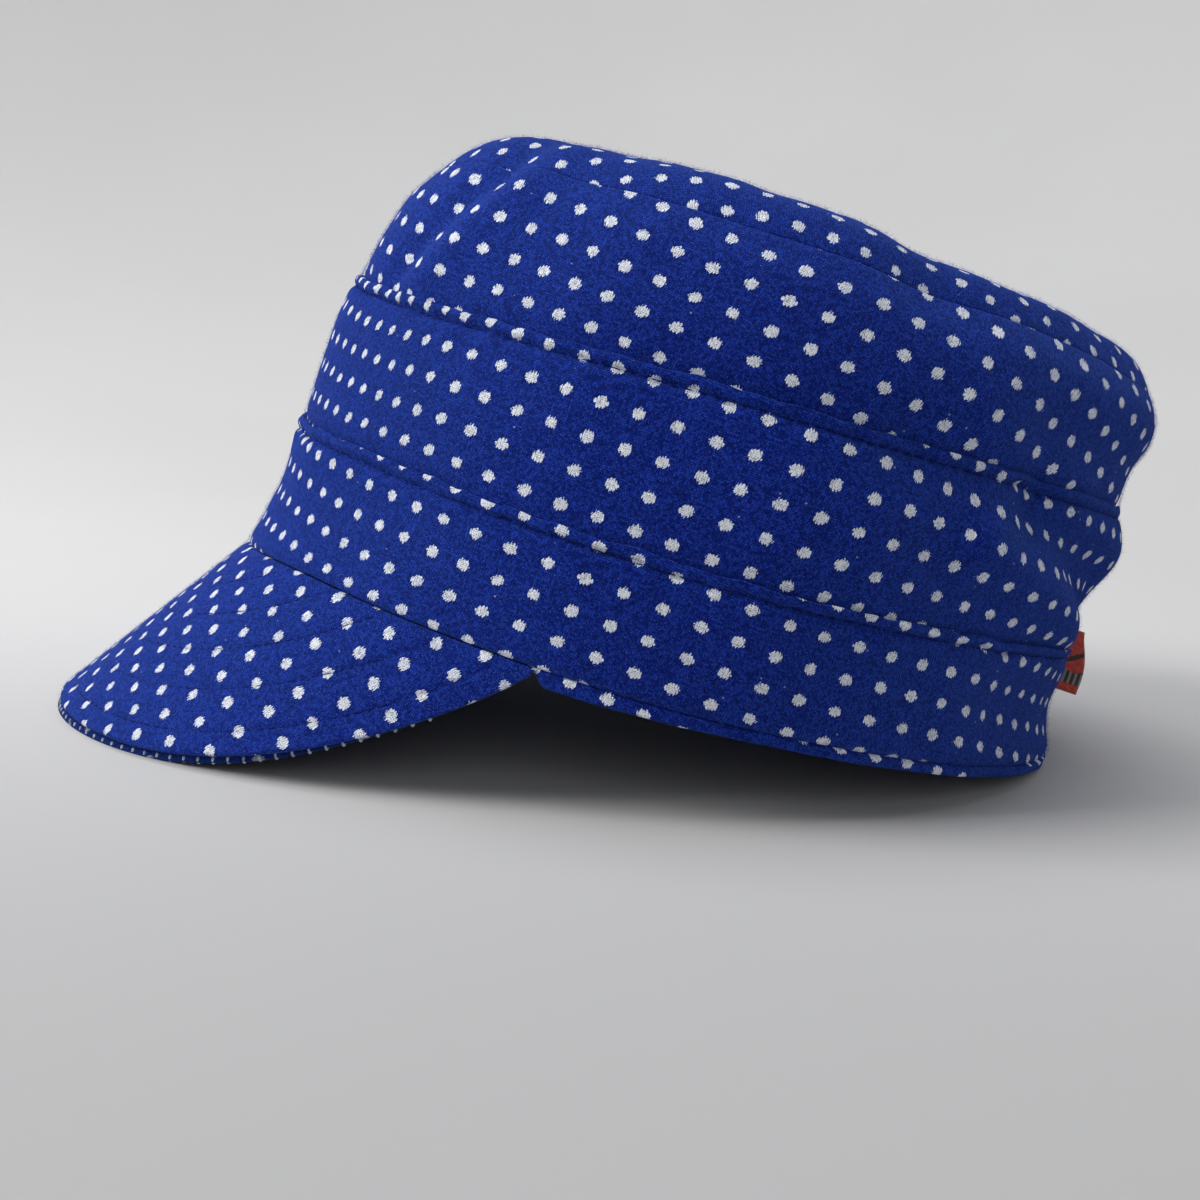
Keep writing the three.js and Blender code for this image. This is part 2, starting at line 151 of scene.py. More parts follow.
PEAK_GRAIN = table(
    GRAIN,
    (0, 0.86, 0.96, 0.11, 14.15),
    (20, 3.40, 3.80, 0.50, 13.88),
    (40, 5.95, 6.59, 0.84, 13.70),
    (60, 8.80, 9.50, 0.86, 13.60),
    (80, 11.57, 12.56, 0.68, 13.46),
    (104, 14.91, 15.77, 0.45, 13.72))
PEAK_GRAIN_SPAN = (20.0, 116.0)  # where the peak's table has its lower and its upper counts (mm)
TOP_GRAIN_FROM = (-21.9, 70.3)  # a dot of the top panel, unrolled: mm towards the back, to the left
TOP_GRAIN_STEPS = (6.82, 6.7)

# Relief of a band's covering edge, by the length above its seam (mm): a fold, the groove of the
# topstitching below it, and the puff of cloth below that
COVER_RELIEF = table(
    "length out",
    (-16.0, 0.0), (-10.0, 0.12), (-5.6, 0.5), (-3.8, 0.62), (-2.9, 0.4), (-2.25, 0.05),
    (-1.7, 0.4), (-1.15, 0.76), (-0.55, 0.86), (-0.12, 0.72))
COVER_LENGTH = 16.5  # how far the covering edge's rows reach down the band
EDGE_MIDDLE, EDGE_RADIUS = 0.27, 0.57  # the roll of the folded edge
GROOVE = -2.25  # where the topstitching lies, from the folded edge
GROOVE_REACH = 0.5
GROOVE_DEPTH, HOLE_DEPTH = 0.14, 0.42  # along the whole groove, and more where a stitch goes in
DIMPLE_DEPTH, DIMPLE_REACH = 0.16, 2.2  # wider and softer, its reach as a share of the groove's
PULL_DEPTH, PULL_REACH = 0.2, 3.4  # of the puckers on both sides of the groove
CALM_AT_BACK = (2.3, 3.0)  # between these angles (radians) the relief gets lower

# Ends of the cloth's sections: length from a seam and offset from the form, negative inwards (mm)
TUCKED_EDGE = ((-4.7, -1.35), (-4.7, -0.54), (-2.5, -0.54), (-0.6, -0.54), (0.3, -0.54),
               (1.0, -0.38), (1.8, -0.16), (2.8, -0.02), (4.0, 0.0))
HEM_EDGE = ((0.25, -1.5), (0.02, -1.2), (0.0, -0.9), (0.2, -0.56), (0.7, -0.27), (1.4, -0.07),
            (2.2, 0.04), (3.1, 0.05), (4.2, 0.0))
SIDE_TOP_EDGE = ((-3.0, 0.0), (-2.3, 0.02), (-1.7, 0.03), (-1.2, 0.02), (-0.8, -0.02),
                 (-0.4, -0.09), (-0.05, -0.2), (0.1, -0.42))
PANEL_EDGE = ((0.05, -0.9), (0.0, -0.36), (0.12, -0.22), (0.4, -0.12), (0.9, -0.04), (1.5, 0.01),
              (2.4, 0.03), (3.2, 0.03), (4.2, 0.02))
BODY_FROM = 5.0  # where a section's plain rows begin, above its lower seam

# Random softness: depth, length (mm) and seed of each layer
CLOTH_SWELLS = ((0.32, 34, 5), (0.1, 11, 6))
EDGE_WAVES = ((0.2, 9, 13), (0.1, 3, 14))
WAVES = 22  # sines in each layer

CLEARANCE = 0.3  # between neighbouring pieces
NORMAL_STEP = 0.04  # in levels and radians, for measuring the form's slope
RING_COLUMNS = 960
FIBRES = 31000  # in each of the five pieces of fuzz


def curve_through(rows, at, value, level_ends=False):
    """A smooth curve through a table's rows; its ends are level where the shape is mirrored."""
    xs, ys = rows[at], rows[value]
    last = len(xs) - 1
    before = np.maximum(np.arange(last + 1) - 1, 0)
    after = np.minimum(np.arange(last + 1) + 1, last)
    slopes = (ys[after] - ys[before]) / (xs[after] - xs[before])
    if level_ends:
        slopes[0] = slopes[-1] = 0

    def curve(x):
        i = np.clip(np.searchsorted(xs, x) - 1, 0, last - 1)
        span = xs[i + 1] - xs[i]
        t = np.clip((x - xs[i]) / span, 0, 1)
        bow = t * (1 - t) * span * (slopes[i] * (1 - t) - slopes[i + 1] * t)
        return ys[i] + (ys[i + 1] - ys[i]) * t * t * (3 - 2 * t) + bow

    return curve


def smoothstep(x, low, high):
    t = np.clip((x - low) / (high - low), 0, 1)
    return t * t * (3 - 2 * t)


def bell(x, reach):
    return np.exp(-(x / reach) ** 2)


def unit(vectors):
    return vectors / np.linalg.norm(vectors, axis=-1, keepdims=True)


def unevenness(points, length, seed):
    """Soft random swelling of about the given length at each point, mostly between -1 and 1."""
    chance = np.random.default_rng(seed)
    total = np.zeros(points.shape[:-1])
    for _ in range(WAVES):
        way = chance.normal(size=3)
        way *= 2 * math.pi / (length * chance.uniform(0.7, 1.6)) / np.linalg.norm(way)
        total += np.sin(points @ way + chance.uniform(0, 2 * math.pi))
    return total / math.sqrt(WAVES)


def layered(points, layers):
    return sum(depth * unevenness(points, length, seed) for depth, length, seed in layers)


def laid_down(points):
    """Points of the cap (mm) as they lie on the floor, in metres; nothing sinks into the floor."""
    c, s = math.cos(RESTING_TILT), math.sin(RESTING_TILT)
    turn = np.array([[1, 0, 0], [0, c, s], [0, -s, c]])
    placed = points @ turn.T + RESTING_PLACE
    placed[..., 2] = np.maximum(placed[..., 2], 0)
    return placed * MM


class Form:
    """The shape of the cap's outside (mm); the front is towards -Y, the top towards +Z."""

    def __init__(self, sizes):
        self.sizes = sizes
        self.front, self.back, self.side = (
            curve_through(OUTLINE, "level", name) for name in ("front", "back", "side"))
        self.hem, self.lower, self.mid, self.crown = (
            curve_through(HEIGHTS, "angle", name, True) for name in ("hem", "lower", "mid", "side"))
        self.dome = curve_through(DOME, "reach", "rise")
        self.middle_height = sizes.lower_band + sizes.mid_band + sizes.crown_side
        self.middle = (self.back(TOP_SEAM) - self.front(TOP_SEAM)) * sizes.hem_length / 4
        self.per_degree = math.radians((sizes.hem_length + sizes.hem_width) / 4)
        reach = DOME["reach"][-2]
        edge = math.hypot(sizes.hem_width / 2, sizes.top_rise * self.dome(reach) / (1 - reach))
        self.lengths = [sizes.lower_band, sizes.mid_band, sizes.crown_side, edge]

    def level_by(self, seam, length):
        """The level that lies a length above a seam, or below it where the length is negative."""
        below = self.lengths[max(seam - 1, HEM)]
        return seam + np.where(np.asarray(length) < 0, length / below, length / self.lengths[seam])

    def section(self, seam, places, seam_height=0.0, sewn=0):
        """Rows of a section from lengths above a seam and offsets: the level, the offset, the
        height in the band (mm) and the share of stitching relief."""
        return [(self.level_by(seam, n), out, seam_height + n, sewn) for n, out in places]

    def height(self, angle, level):
        s = self.sizes
        turn = np.abs(np.degrees(np.arctan2(np.sin(angle), np.cos(angle))))
        return (
            s.hem_rise * self.hem(turn)
            + np.minimum(level, 1) * s.lower_band * self.lower(turn)
            + np.clip(level - 1, 0, 1) * s.mid_band * self.mid(turn)
            + np.clip(level - 2, 0, 1) * s.crown_side * self.crown(turn)
        )

    def fold(self, angle, level):
        s = self.sizes
        push = np.zeros(np.shape(angle))
        for start, low, end, high, width, depth in FOLDS:
            turn = np.mod(np.degrees(angle) - start + 180, 360) - 180
            here = np.stack([turn * self.per_degree, (level - low) * s.mid_band], -1)
            along = np.array([(end - start) * self.per_degree, (high - low) * s.mid_band])
            share = np.clip(here @ along / (along @ along), 0, 1)
            away = np.linalg.norm(here - share[..., None] * along, axis=-1)
            push += depth * s.fold_depth * bell(away, width * s.mid_band)
        return push

    def oval(self, angle, level):
        """The plain form without folds."""
        s = self.sizes
        wall = np.minimum(level, TOP_SEAM)
        share = np.where(np.cos(angle) > 0, self.front(wall), self.back(wall))
        reach = np.clip(CREST - level, 0, 1)
        y = -np.cos(angle) * share * s.hem_length / 2
        rim = self.height(angle, wall)
        top = self.middle_height * (1 - reach) + rim * reach + s.top_rise * self.dome(reach)
        return np.stack([
            np.sin(angle) * self.side(wall) * s.hem_width / 2 * reach,
            self.middle * (1 - reach) + y * reach,
            np.where(level > TOP_SEAM, top, rim),
        ], -1)

    def normal(self, angle, level):
        """Outwards: level round the bands, square to the form round the top."""
        h = NORMAL_STEP
        low = np.minimum(level, CREST - 2 * h)
        n = unit(np.cross(
            self.oval(angle + h, low) - self.oval(angle - h, low),
            self.oval(angle, low + h) - self.oval(angle, low - h),
        ))
        n[..., 2] *= smoothstep(level, UPPER_SEAM, TOP_SEAM)
        return unit(n)

    def skin(self, angle, level, out=0.0):
        """Points of the cap's outside, pushed out by the folds and by an offset of their own."""
        plain = self.oval(angle, level)
        push = self.fold(angle, level) + layered(plain, CLOTH_SWELLS) + out
        return plain + self.normal(angle, level) * np.asarray(push)[..., None]

    def arc(self, angle, level):
        """Length round the form from the centre front to an angle, negative on the right."""
        steps = np.linspace(-math.pi, math.pi, 1441)
        line = self.oval(steps, np.full_like(steps, level))[:, :2]
        run = np.r_[0, np.cumsum(np.linalg.norm(np.diff(line, axis=0), axis=1))]
        return np.interp(angle, steps, run - np.interp(0, steps, run))


def grain(rows, arc, share):
    """Cloth coordinates (dots) at an arc and a share of the way from lower to upper edge."""
    near, arcs = np.abs(arc), rows["arc"]
    beyond = np.maximum(near - arcs[-1], 0) / (arcs[-1] - arcs[-2])

    def count(name):
        return curve_through(rows, "arc", name)(near)

    def between(low, high):
        return low * (1 - share) + high * share

    along = between(*(count(name) + beyond * (rows[name][-1] - rows[name][-2])
                      for name in ("along_low", "along_high")))
    middle = between(rows["along_low"][0], rows["along_high"][0])
    along = np.where(arc < 0, 2 * middle - along, along)
    return along, between(count("up_low"), count("up_high"))


def in_dots(s, along, up):
    """Cloth coordinates in millimetres from counts of dots."""
    return np.stack([along * s.dot_along, up * s.dot_up], -1)


# What a user would change

def length(name, description, default, low, high):
    return bpy.props.FloatProperty(
        name=name, description=description, default=default, min=low, max=high, unit="LENGTH")


def turn(name, description, degrees, low, high):
    return bpy.props.FloatProperty(
        name=name, description=description, default=math.radians(degrees), min=low, max=high,
        subtype="ANGLE")


def colour(name, description, *default):
    return bpy.props.FloatVectorProperty(
        name=name, description=description, default=default, min=0, max=1, subtype="COLOR")


class CapSizes(bpy.types.PropertyGroup):
    hem_length: length("Hem length", "Outside of the hem, front to back", 0.203, 0.15, 0.25)
    hem_width: length("Hem width", "Outside of the hem, side to side", 0.172, 0.12, 0.22)
    hem_rise: length(
        "Hem rise", "Scale of the hem's climb from the front to the back", 0.009, 0, 0.02)
    lower_band: length("Lower band", "Height from the hem to the lower seam", 0.0288, 0.015, 0.05)
    mid_band: length(
        "Mid band", "Height from the lower seam to the upper seam", 0.033, 0.015, 0.06)
    crown_side: length(
        "Crown side", "Height from the upper seam to the top panel's seam", 0.0285, 0.015, 0.05)
    top_rise: length("Top rise", "Crest of the top panel above its seam", 0.013, 0.002, 0.03)
    fold_depth: length("Fold depth", "Depth of the deepest fold", 0.004, 0, 0.01)
    wall: length("Wall", "Thickness of the jersey with its interlining", 0.0015, 0.0008, 0.003)
    sweatband: length(
        "Sweatband", "Height of the sweatband inside the lower band", 0.020, 0.01, 0.027)
    hem_show: length(
        "Hem show", "What shows of the sweatband below the lower band", 0.0026, 0, 0.006)
    peak_depth: length(
        "Peak depth", "Centre front, from the hem to the peak's edge", 0.0595, 0.03, 0.08)
    peak_droop: turn("Peak droop", "Angle of the peak below the plane of the hem", 55, 0.2, 1.4)
    peak_half_angle: turn(
        "Peak corner", "Angle round the hem from centre front to the peak's corner", 78, 0.8, 1.6)
    peak_cover: length(
        "Peak cover", "Thickness of the upper cover with its board", 0.0026, 0.001, 0.005)
    peak_beyond: length(
        "Under cover", "How far the peak's under cover stands out past the upper one",
        0.0024, 0, 0.004)
    peak_row_step: length(
        "Peak rows", "Distance between the rows of topstitching on the peak", 0.009, 0.004, 0.02)
    stitch_length: length(
        "Stitch length", "Length of one stitch of the topstitching", 0.0027, 0.0015, 0.005)
    thread: length("Thread", "Thickness of the sewing thread", 0.0003, 0.0002, 0.0008)
    dot_along: length("Dots along", "Distance between dots along a row", 0.00741, 0.003, 0.02)
    dot_up: length("Dots up", "Distance between rows of dots", 0.00674, 0.003, 0.02)
    dot_size: length("Dot size", "Width of a knitted dot", 0.0025, 0.001, 0.01)
    loop_size: length("Loop size", "Width of one stitch of the jersey", 0.00055, 0.0002, 0.001)
    fuzz_length: length(
        "Fuzz length", "Length of the loose fibres on the jersey", 0.00062, 0, 0.003)
    fuzz_thickness: length(
        "Fuzz thickness", "Thickness of the loose fibres", 0.000038, 0.00001, 0.0002)


class CapColours(bpy.types.PropertyGroup):
    jersey: colour("Jersey", "Royal blue of the knitted cloth", 0.0044, 0.0205, 0.27)
    # Dark blue between the stitches, and also the colour of the painted shade in the seams'
    # grooves, the peak's stitch rows and the under cover's edge strip
    deep_and_shade: colour(
        "Between stitches", "Darker blue between the stitches of the jersey", 0.0007, 0.0034, 0.055)
    light: colour(
        "Stitch tips", "Lighter blue of the raised stitches of the jersey", 0.023, 0.07, 0.5)
    dots: colour("Dots", "Off-white yarn of the dots", 0.9, 0.94, 1.0)
    thread: colour("Thread", "Blue of the sewing thread", 0.003, 0.014, 0.17)
    fibres: colour("Fibres", "Lighter blue of the loose fibres", 0.02, 0.055, 0.3)
    tab: colour("Tab", "Red yarn of the woven tab", 0.52, 0.045, 0.022)
    tab_bars: colour("Tab bars", "Dark yarn of the bars on the tab", 0.035, 0.03, 0.028)
    floor: colour("Floor", "Pale grey of the floor and backdrop", 0.52, 0.52, 0.525)


def sizes_mm():
    """The sizes as plain numbers: lengths in millimetres, angles in radians."""
    group = bpy.context.scene.cap_sizes
    values = {name: getattr(group, name) for name in CapSizes.__annotations__}
    return SimpleNamespace(**{
        name: value if name in ("peak_droop", "peak_half_angle") else value / MM
        for name, value in values.items()})


# Finishes

def arithmetic(operation):
    return lambda *values: values[0].nodes.math(operation, *values)


class Value:
    """A node's output. Arithmetic on it adds math nodes, and a name gives the node's other one."""

    def __init__(self, nodes, socket):
        self.nodes, self.socket = nodes, socket

    def __getitem__(self, name):
        return Value(self.nodes, self.socket.node.outputs[name])

    def __rsub__(self, other):
        return self.nodes.math("SUBTRACT", other, self)

    __add__, __sub__, __mul__, __truediv__ = map(
        arithmetic, ("ADD", "SUBTRACT", "MULTIPLY", "DIVIDE"))
    __gt__, __lt__, __abs__, __floor__ = map(
        arithmetic, ("GREATER_THAN", "LESS_THAN", "ABSOLUTE", "FLOOR"))


class Nodes:
    """A shader node tree that is written as arithmetic on its nodes' outputs."""

    def __init__(self, tree):
        self.tree = tree

    def feed(self, socket, value):
        if isinstance(value, Value):
            self.tree.links.new(value.socket, socket)
        else:
            socket.default_value = value

    def add(self, kind, inputs=None, output=0, **settings):
        """A new node with its settings, and its inputs by place or name; gives an output."""
        node = self.tree.nodes.new(kind)
        for name, value in settings.items():
            setattr(node, name, value)
        for name, value in (inputs or {}).items():
            self.feed(node.inputs[name], value)
        return Value(self, node.outputs[output])

    def math(self, operation, *values):
        return self.add("ShaderNodeMath", dict(enumerate(values)), operation=operation)

    def sine(self, value):
        return self.math("SINE", value)

    def remap(self, *numbers):
        """A value brought from one low and high to another pair, which is 0 and 1 if left out."""
        return self.add(
            "ShaderNodeMapRange", dict(enumerate(numbers)), interpolation_type="SMOOTHSTEP")

    def noise(self, vector, scale, detail=3.0, roughness=0.6):
        inputs = {"Vector": vector, "Scale": scale, "Detail": detail, "Roughness": roughness}
        return self.add("ShaderNodeTexNoise", inputs, "Fac")

    def random(self, vector):
        """Three random values that stay the same for the same vector."""
        chance = self.add("ShaderNodeTexWhiteNoise", {"Vector": vector}, "Color")
        return self.add("ShaderNodeSeparateColor", {0: chance})

    def split(self, vector):
        return self.add("ShaderNodeSeparateXYZ", {0: vector})

    def mixed(self, share, first, second):
        """A colour between two colours, each three numbers or a value."""
        first, second = (
            value if isinstance(value, Value) else (*value[:3], 1) for value in (first, second))
        inputs = {"Factor": share, "A": first, "B": second}
        return self.add("ShaderNodeMix", inputs, "Result", data_type="RGBA")

    def group(self, name, **inputs):
        return self.add("ShaderNodeGroup", inputs, node_tree=node_group(name))

    def place(self):
        return self.add("ShaderNodeTexCoord", output="Object")

    def cloth(self):
        return self.add("ShaderNodeUVMap", uv_map="cloth")

    def bump(self, shader, height, distance, strength=1.0):
        inputs = {"Height": height, "Distance": distance, "Strength": strength}
        self.feed(shader["Normal"], self.add("ShaderNodeBump", inputs))


def stitch_cells(nodes, cloth, loop):
    """The V-shaped stitches of the jersey: the place within each one, its middle and its chance."""
    split = nodes.split(cloth)
    across, height = split[0], split[1]
    wander = nodes.noise(cloth, 0.3, 3, 0.7) * 3.2 - 1.6
    across = across / loop + wander
    wale = math.floor(across)
    along = across - wale
    vee = abs(along - 0.5) * 1.3
    up = height / (loop * 0.86) - vee
    course = math.floor(up)
    chance = nodes.random(nodes.add("ShaderNodeCombineXYZ", {0: wale, 1: course}))
    return along, up - course, (wale - wander + 0.5) * loop, height, chance


def jersey_stitches(nodes, cloth, loop, uneven):
    """Relief of the jersey's stitches, and an uneven tone from stitch to stitch."""
    along, up, _, _, chance = stitch_cells(nodes, cloth, loop)
    side = abs(along * 2.0 - 1.0)
    edge = 1.0 - nodes.math("POWER", side, 3.0)
    cleft = nodes.remap(side, 0.0, 0.4, 0.7, 1.0)
    stitch = edge * cleft * nodes.sine(up * math.pi)
    streaks = nodes.add(
        "ShaderNodeVectorMath", {0: cloth, 1: (3.6, 2.4, 1)}, operation="MULTIPLY")
    strokes = nodes.remap(nodes.noise(streaks, 1.0, 2, 0.65), 0.3, 0.7)
    rough = chance[0] * 0.6 + strokes * 0.4
    return {"Height": stitch * 0.7 + rough * 0.4,
            "Shade": rough * uneven + stitch * (1.0 - uneven)}


def knitted_dots(nodes, cloth, dot_along, dot_up, size, loop, ragged):
    """White dots in rows, knitted stitch by stitch, so that their edges are stepped."""
    along, _, middle, height, chance = stitch_cells(nodes, cloth, loop)
    counts = [middle / dot_along + 0.5, height / dot_up + 0.5]
    cell = nodes.add("ShaderNodeCombineXYZ", dict(enumerate(map(math.floor, counts))))
    shift = nodes.random(cell)
    near = [(nodes.math("FRACT", count) - 0.5) * step + (shift[axis] * 0.3 - 0.15)
            for axis, (count, step) in enumerate(zip(counts, (dot_along, dot_up)))]
    tooth = abs(along - 0.5) * (ragged * 2.4)
    end = (chance[1] - 0.5) * ragged
    tall = abs(near[1]) + (tooth + end)
    reach = nodes.math("SQRT", near[0] * near[0] + tall * tall)
    radius = size * (shift[2] * 0.05 + 0.505)
    return {"Mask": radius - reach > 0.0}


def heather_and_lint(nodes, place, cloth, lint):
    """Slow change of tone over the cloth, and small pale specks of lint caught in it."""
    tone = nodes.noise(place, 26) * 0.5 + nodes.noise(cloth, 0.55, 4, 0.7) * 0.5
    cells = nodes.add("ShaderNodeTexVoronoi", {"Vector": cloth, "Scale": 0.62})
    pick = nodes.add("ShaderNodeSeparateColor", {0: cells["Color"]})
    chosen = pick[0] < lint * 0.16
    speck = cells["Distance"] < pick[1] * 0.1 + 0.05
    return {"Tone": nodes.remap(tone, 0.3, 0.7), "Specks": chosen * speck}


def ribbon_weave(nodes, cloth, step):
    """Close plain weave of a narrow ribbon."""
    split = nodes.split(cloth)
    across, up = (nodes.sine(split[axis] / step * math.pi) for axis in (0, 1))
    return {"Height": across * up * 0.5 + 0.5}


# Each shared effect with its inputs; one without a number is a vector
EFFECTS = {
    "jersey_stitches": (jersey_stitches, {"Cloth": None, "Loop": 0.46, "Uneven": 0.6}),
    "knitted_dots": (knitted_dots, {
        "Cloth": None, "Along": 7.41, "Up": 6.74, "Size": 2.7, "Loop": 0.48, "Ragged": 0.36}),
    "heather_and_lint": (heather_and_lint, {"Place": None, "Cloth": None, "Lint": 0.5}),
    "ribbon_weave": (ribbon_weave, {"Cloth": None, "Step": 0.3}),
}


def node_group(name):
    """The shared effect of that name as a node group, made the first time that it is asked for."""
    if name not in bpy.data.node_groups:
        effect, inputs = EFFECTS[name]
        group = bpy.data.node_groups.new(name, "ShaderNodeTree")
        for label, default in inputs.items():
            kind = "NodeSocketVector" if default is None else "NodeSocketFloat"
            socket = group.interface.new_socket(name=label, in_out="INPUT", socket_type=kind)
            if default is not None:
                socket.default_value = default
        nodes = Nodes(group)
        given = nodes.add("NodeGroupInput")
        results = effect(nodes, *(given[label] for label in inputs))
        for label in results:
            group.interface.new_socket(
                name=label, in_out="OUTPUT", socket_type="NodeSocketFloat")
        made = group.nodes.new("NodeGroupOutput")
        for label, value in results.items():
            nodes.feed(made.inputs[label], value)
    return bpy.data.node_groups[name]


def toned(rgb, share):
    return tuple(c * share for c in rgb)


def new_material(name, roughness, **constants):
    """A new material's nodes and the inputs of its shader."""
    material = bpy.data.materials.new(name)
    material.use_nodes = True
    shader = material.node_tree.nodes["Principled BSDF"].inputs
    for label, value in {"Roughness": roughness, **constants}.items():
        shader[label.replace("_", " ")].default_value = value
    return Nodes(material.node_tree), shader


def jersey_finish():
    """Cotton jersey with knitted dots."""
    colours, s = bpy.context.scene.cap_colours, sizes_mm()
    nodes, shader = new_material(
        "jersey_dots", 0.9, Sheen_Weight=0.28, Sheen_Roughness=0.42,
        Sheen_Tint=(0.17, 0.38, 1.0, 1), Specular_IOR_Level=0.05)
    cloth = nodes.cloth()
    knit = nodes.group("jersey_stitches", Cloth=cloth, Loop=s.loop_size * 0.92, Uneven=0.55)
    dots = nodes.group("knitted_dots", Cloth=cloth, Along=s.dot_along, Up=s.dot_up,
                       Size=s.dot_size, Loop=s.loop_size)
    heather = nodes.group("heather_and_lint", Place=nodes.place(), Cloth=cloth)
    shade = knit["Shade"]
    blue = nodes.mixed(nodes.remap(shade, 0.1, 0.62), colours.deep_and_shade, colours.jersey)
    blue = nodes.mixed(nodes.remap(shade, 0.5, 0.78) * 0.85, blue, colours.light)
    blue = nodes.mixed(heather["Tone"] * 0.12, blue, colours.deep_and_shade)
    grey = [c * share for c, share in zip(colours.dots, (0.22, 0.26, 0.36))]
    yarn = nodes.mixed(nodes.remap(shade, 0.12, 0.5), grey, colours.dots)
    # Painted shade, read from each piece: darker blue in the seams' grooves, along the peak's rows
    # of stitching and on the under cover's edge strip
    painted_shade = nodes.add("ShaderNodeAttribute", output="Fac", attribute_name="painted_shade")
    whole = nodes.mixed(dots, blue, yarn)
    whole = nodes.mixed(painted_shade * 0.5, whole, colours.deep_and_shade)
    whole = nodes.mixed(heather["Specks"] * 0.55, whole, (0.4, 0.48, 0.7))
    nodes.feed(shader["Base Color"], whole)
    nodes.feed(shader["Roughness"], shade * -0.12 + 0.98)
    nodes.bump(shader, knit["Height"] + dots * 0.3, 0.0003, 0.85)


def thread_finish():
    """Blue sewing thread, twisted."""
    thread = bpy.context.scene.cap_colours.thread
    nodes, shader = new_material("thread", 0.85, Specular_IOR_Level=0.08)
    ply = nodes.add("ShaderNodeTexWave", {
        "Vector": nodes.place(), "Scale": 1400, "Distortion": 1.5}, "Fac")
    nodes.feed(shader["Base Color"], nodes.mixed(ply, toned(thread, 0.5), thread))
    nodes.bump(shader, ply, 0.00008)


def pale_thread_finish():
    """Greyish thread of the stitches round the peak's edge."""
    nodes, shader = new_material("pale_thread", 0.9, Specular_IOR_Level=0.1)
    tone = nodes.remap(nodes.noise(nodes.place(), 900, 2), 0.3, 0.7)
    nodes.feed(shader["Base Color"], nodes.mixed(tone, (0.16, 0.2, 0.28), (0.42, 0.47, 0.55)))


def fibre_finish():
    """Loose fibres, some of them pale."""
    fibres = bpy.context.scene.cap_colours.fibres
    nodes, shader = new_material("loose_fibres", 0.75, Specular_IOR_Level=0.25)
    pale = tuple(min(c * 1.7 + 0.07, 1) for c in fibres)
    tone = nodes.remap(nodes.noise(nodes.place(), 900, 1), 0.35, 0.65)
    nodes.feed(shader["Base Color"], nodes.mixed(tone, fibres, pale))


def ribbon_finish():
    """Woven ribbon, red with plain dark bars and a grey check."""
    colours = bpy.context.scene.cap_colours
    dark = colours.tab_bars
    nodes, shader = new_material("woven_ribbon", 0.7, Sheen_Weight=0.25, Specular_IOR_Level=0.3)
    cloth = nodes.cloth()
    weave = nodes.group("ribbon_weave", Cloth=cloth, Step=0.28)
    split = nodes.split(cloth)
    across, up = split[0], split[1]
    up = up + (nodes.noise(cloth, 1.4, 3, 0.7) * 0.9 - 0.45)
    worn = tuple(min(c * 1.5 + 0.02, 1) for c in colours.tab)
    whole = nodes.mixed(nodes.remap(nodes.noise(cloth, 0.9), 0.4, 0.65), colours.tab, worn)
    bars = nodes.sine((up + across * 0.55) * 1.15) > 0.72
    whole = nodes.mixed(bars * (abs(up - 8.6) < 6.2), whole, dark)
    stripes = nodes.sine(across * 4.2) > -0.1
    check = nodes.mixed(stripes, (0.3, 0.27, 0.24), dark)
    whole = nodes.mixed(abs(up - 4.2) < 1.7, whole, check)
    whole = nodes.mixed(weave * -0.45 + 0.45, whole, dark)
    nodes.feed(shader["Base Color"], whole)
    nodes.bump(shader, weave, 0.00018)


FINISHES = {
    "jersey_dots": jersey_finish,
    "thread": thread_finish,
    "pale_thread": pale_thread_finish,
    "loose_fibres": fibre_finish,
    "woven_ribbon": ribbon_finish,
}


def finish_named(name):
    """The finish of that name, made the first time that it is asked for."""
    if name not in bpy.data.materials:
        FINISHES[name]()
    return bpy.data.materials[name]


# Modelling

def deselect_all():
    if bpy.context.object and bpy.context.object.mode != "OBJECT":
        bpy.ops.object.mode_set(mode="OBJECT")
    bpy.ops.object.select_all(action="DESELECT")


def choose(piece):
    deselect_all()
    piece.select_set(True)
    bpy.context.view_layer.objects.active = piece


@contextmanager
def editing():
    """Edit mode with the whole mesh selected."""
    bpy.ops.object.mode_set(mode="EDIT")
    bpy.ops.mesh.select_all(action="SELECT")
    yield
    bpy.ops.object.mode_set(mode="OBJECT")


def new_piece(name):
    """The primitive that was just added, named, with its size and place in its mesh."""
    piece = bpy.context.object
    piece.name = piece.data.name = name
    bpy.ops.object.transform_apply(location=True, rotation=True, scale=True)
    return piece


def points_of(piece):
    co = np.empty(len(piece.data.vertices) * 3, np.float32)
    piece.data.vertices.foreach_get("co", co)
    return co.reshape(-1, 3).astype(float)


def set_points(piece, points):
    piece.data.vertices.foreach_set("co", np.ascontiguousarray(points, np.float32).ravel())
    piece.data.update()


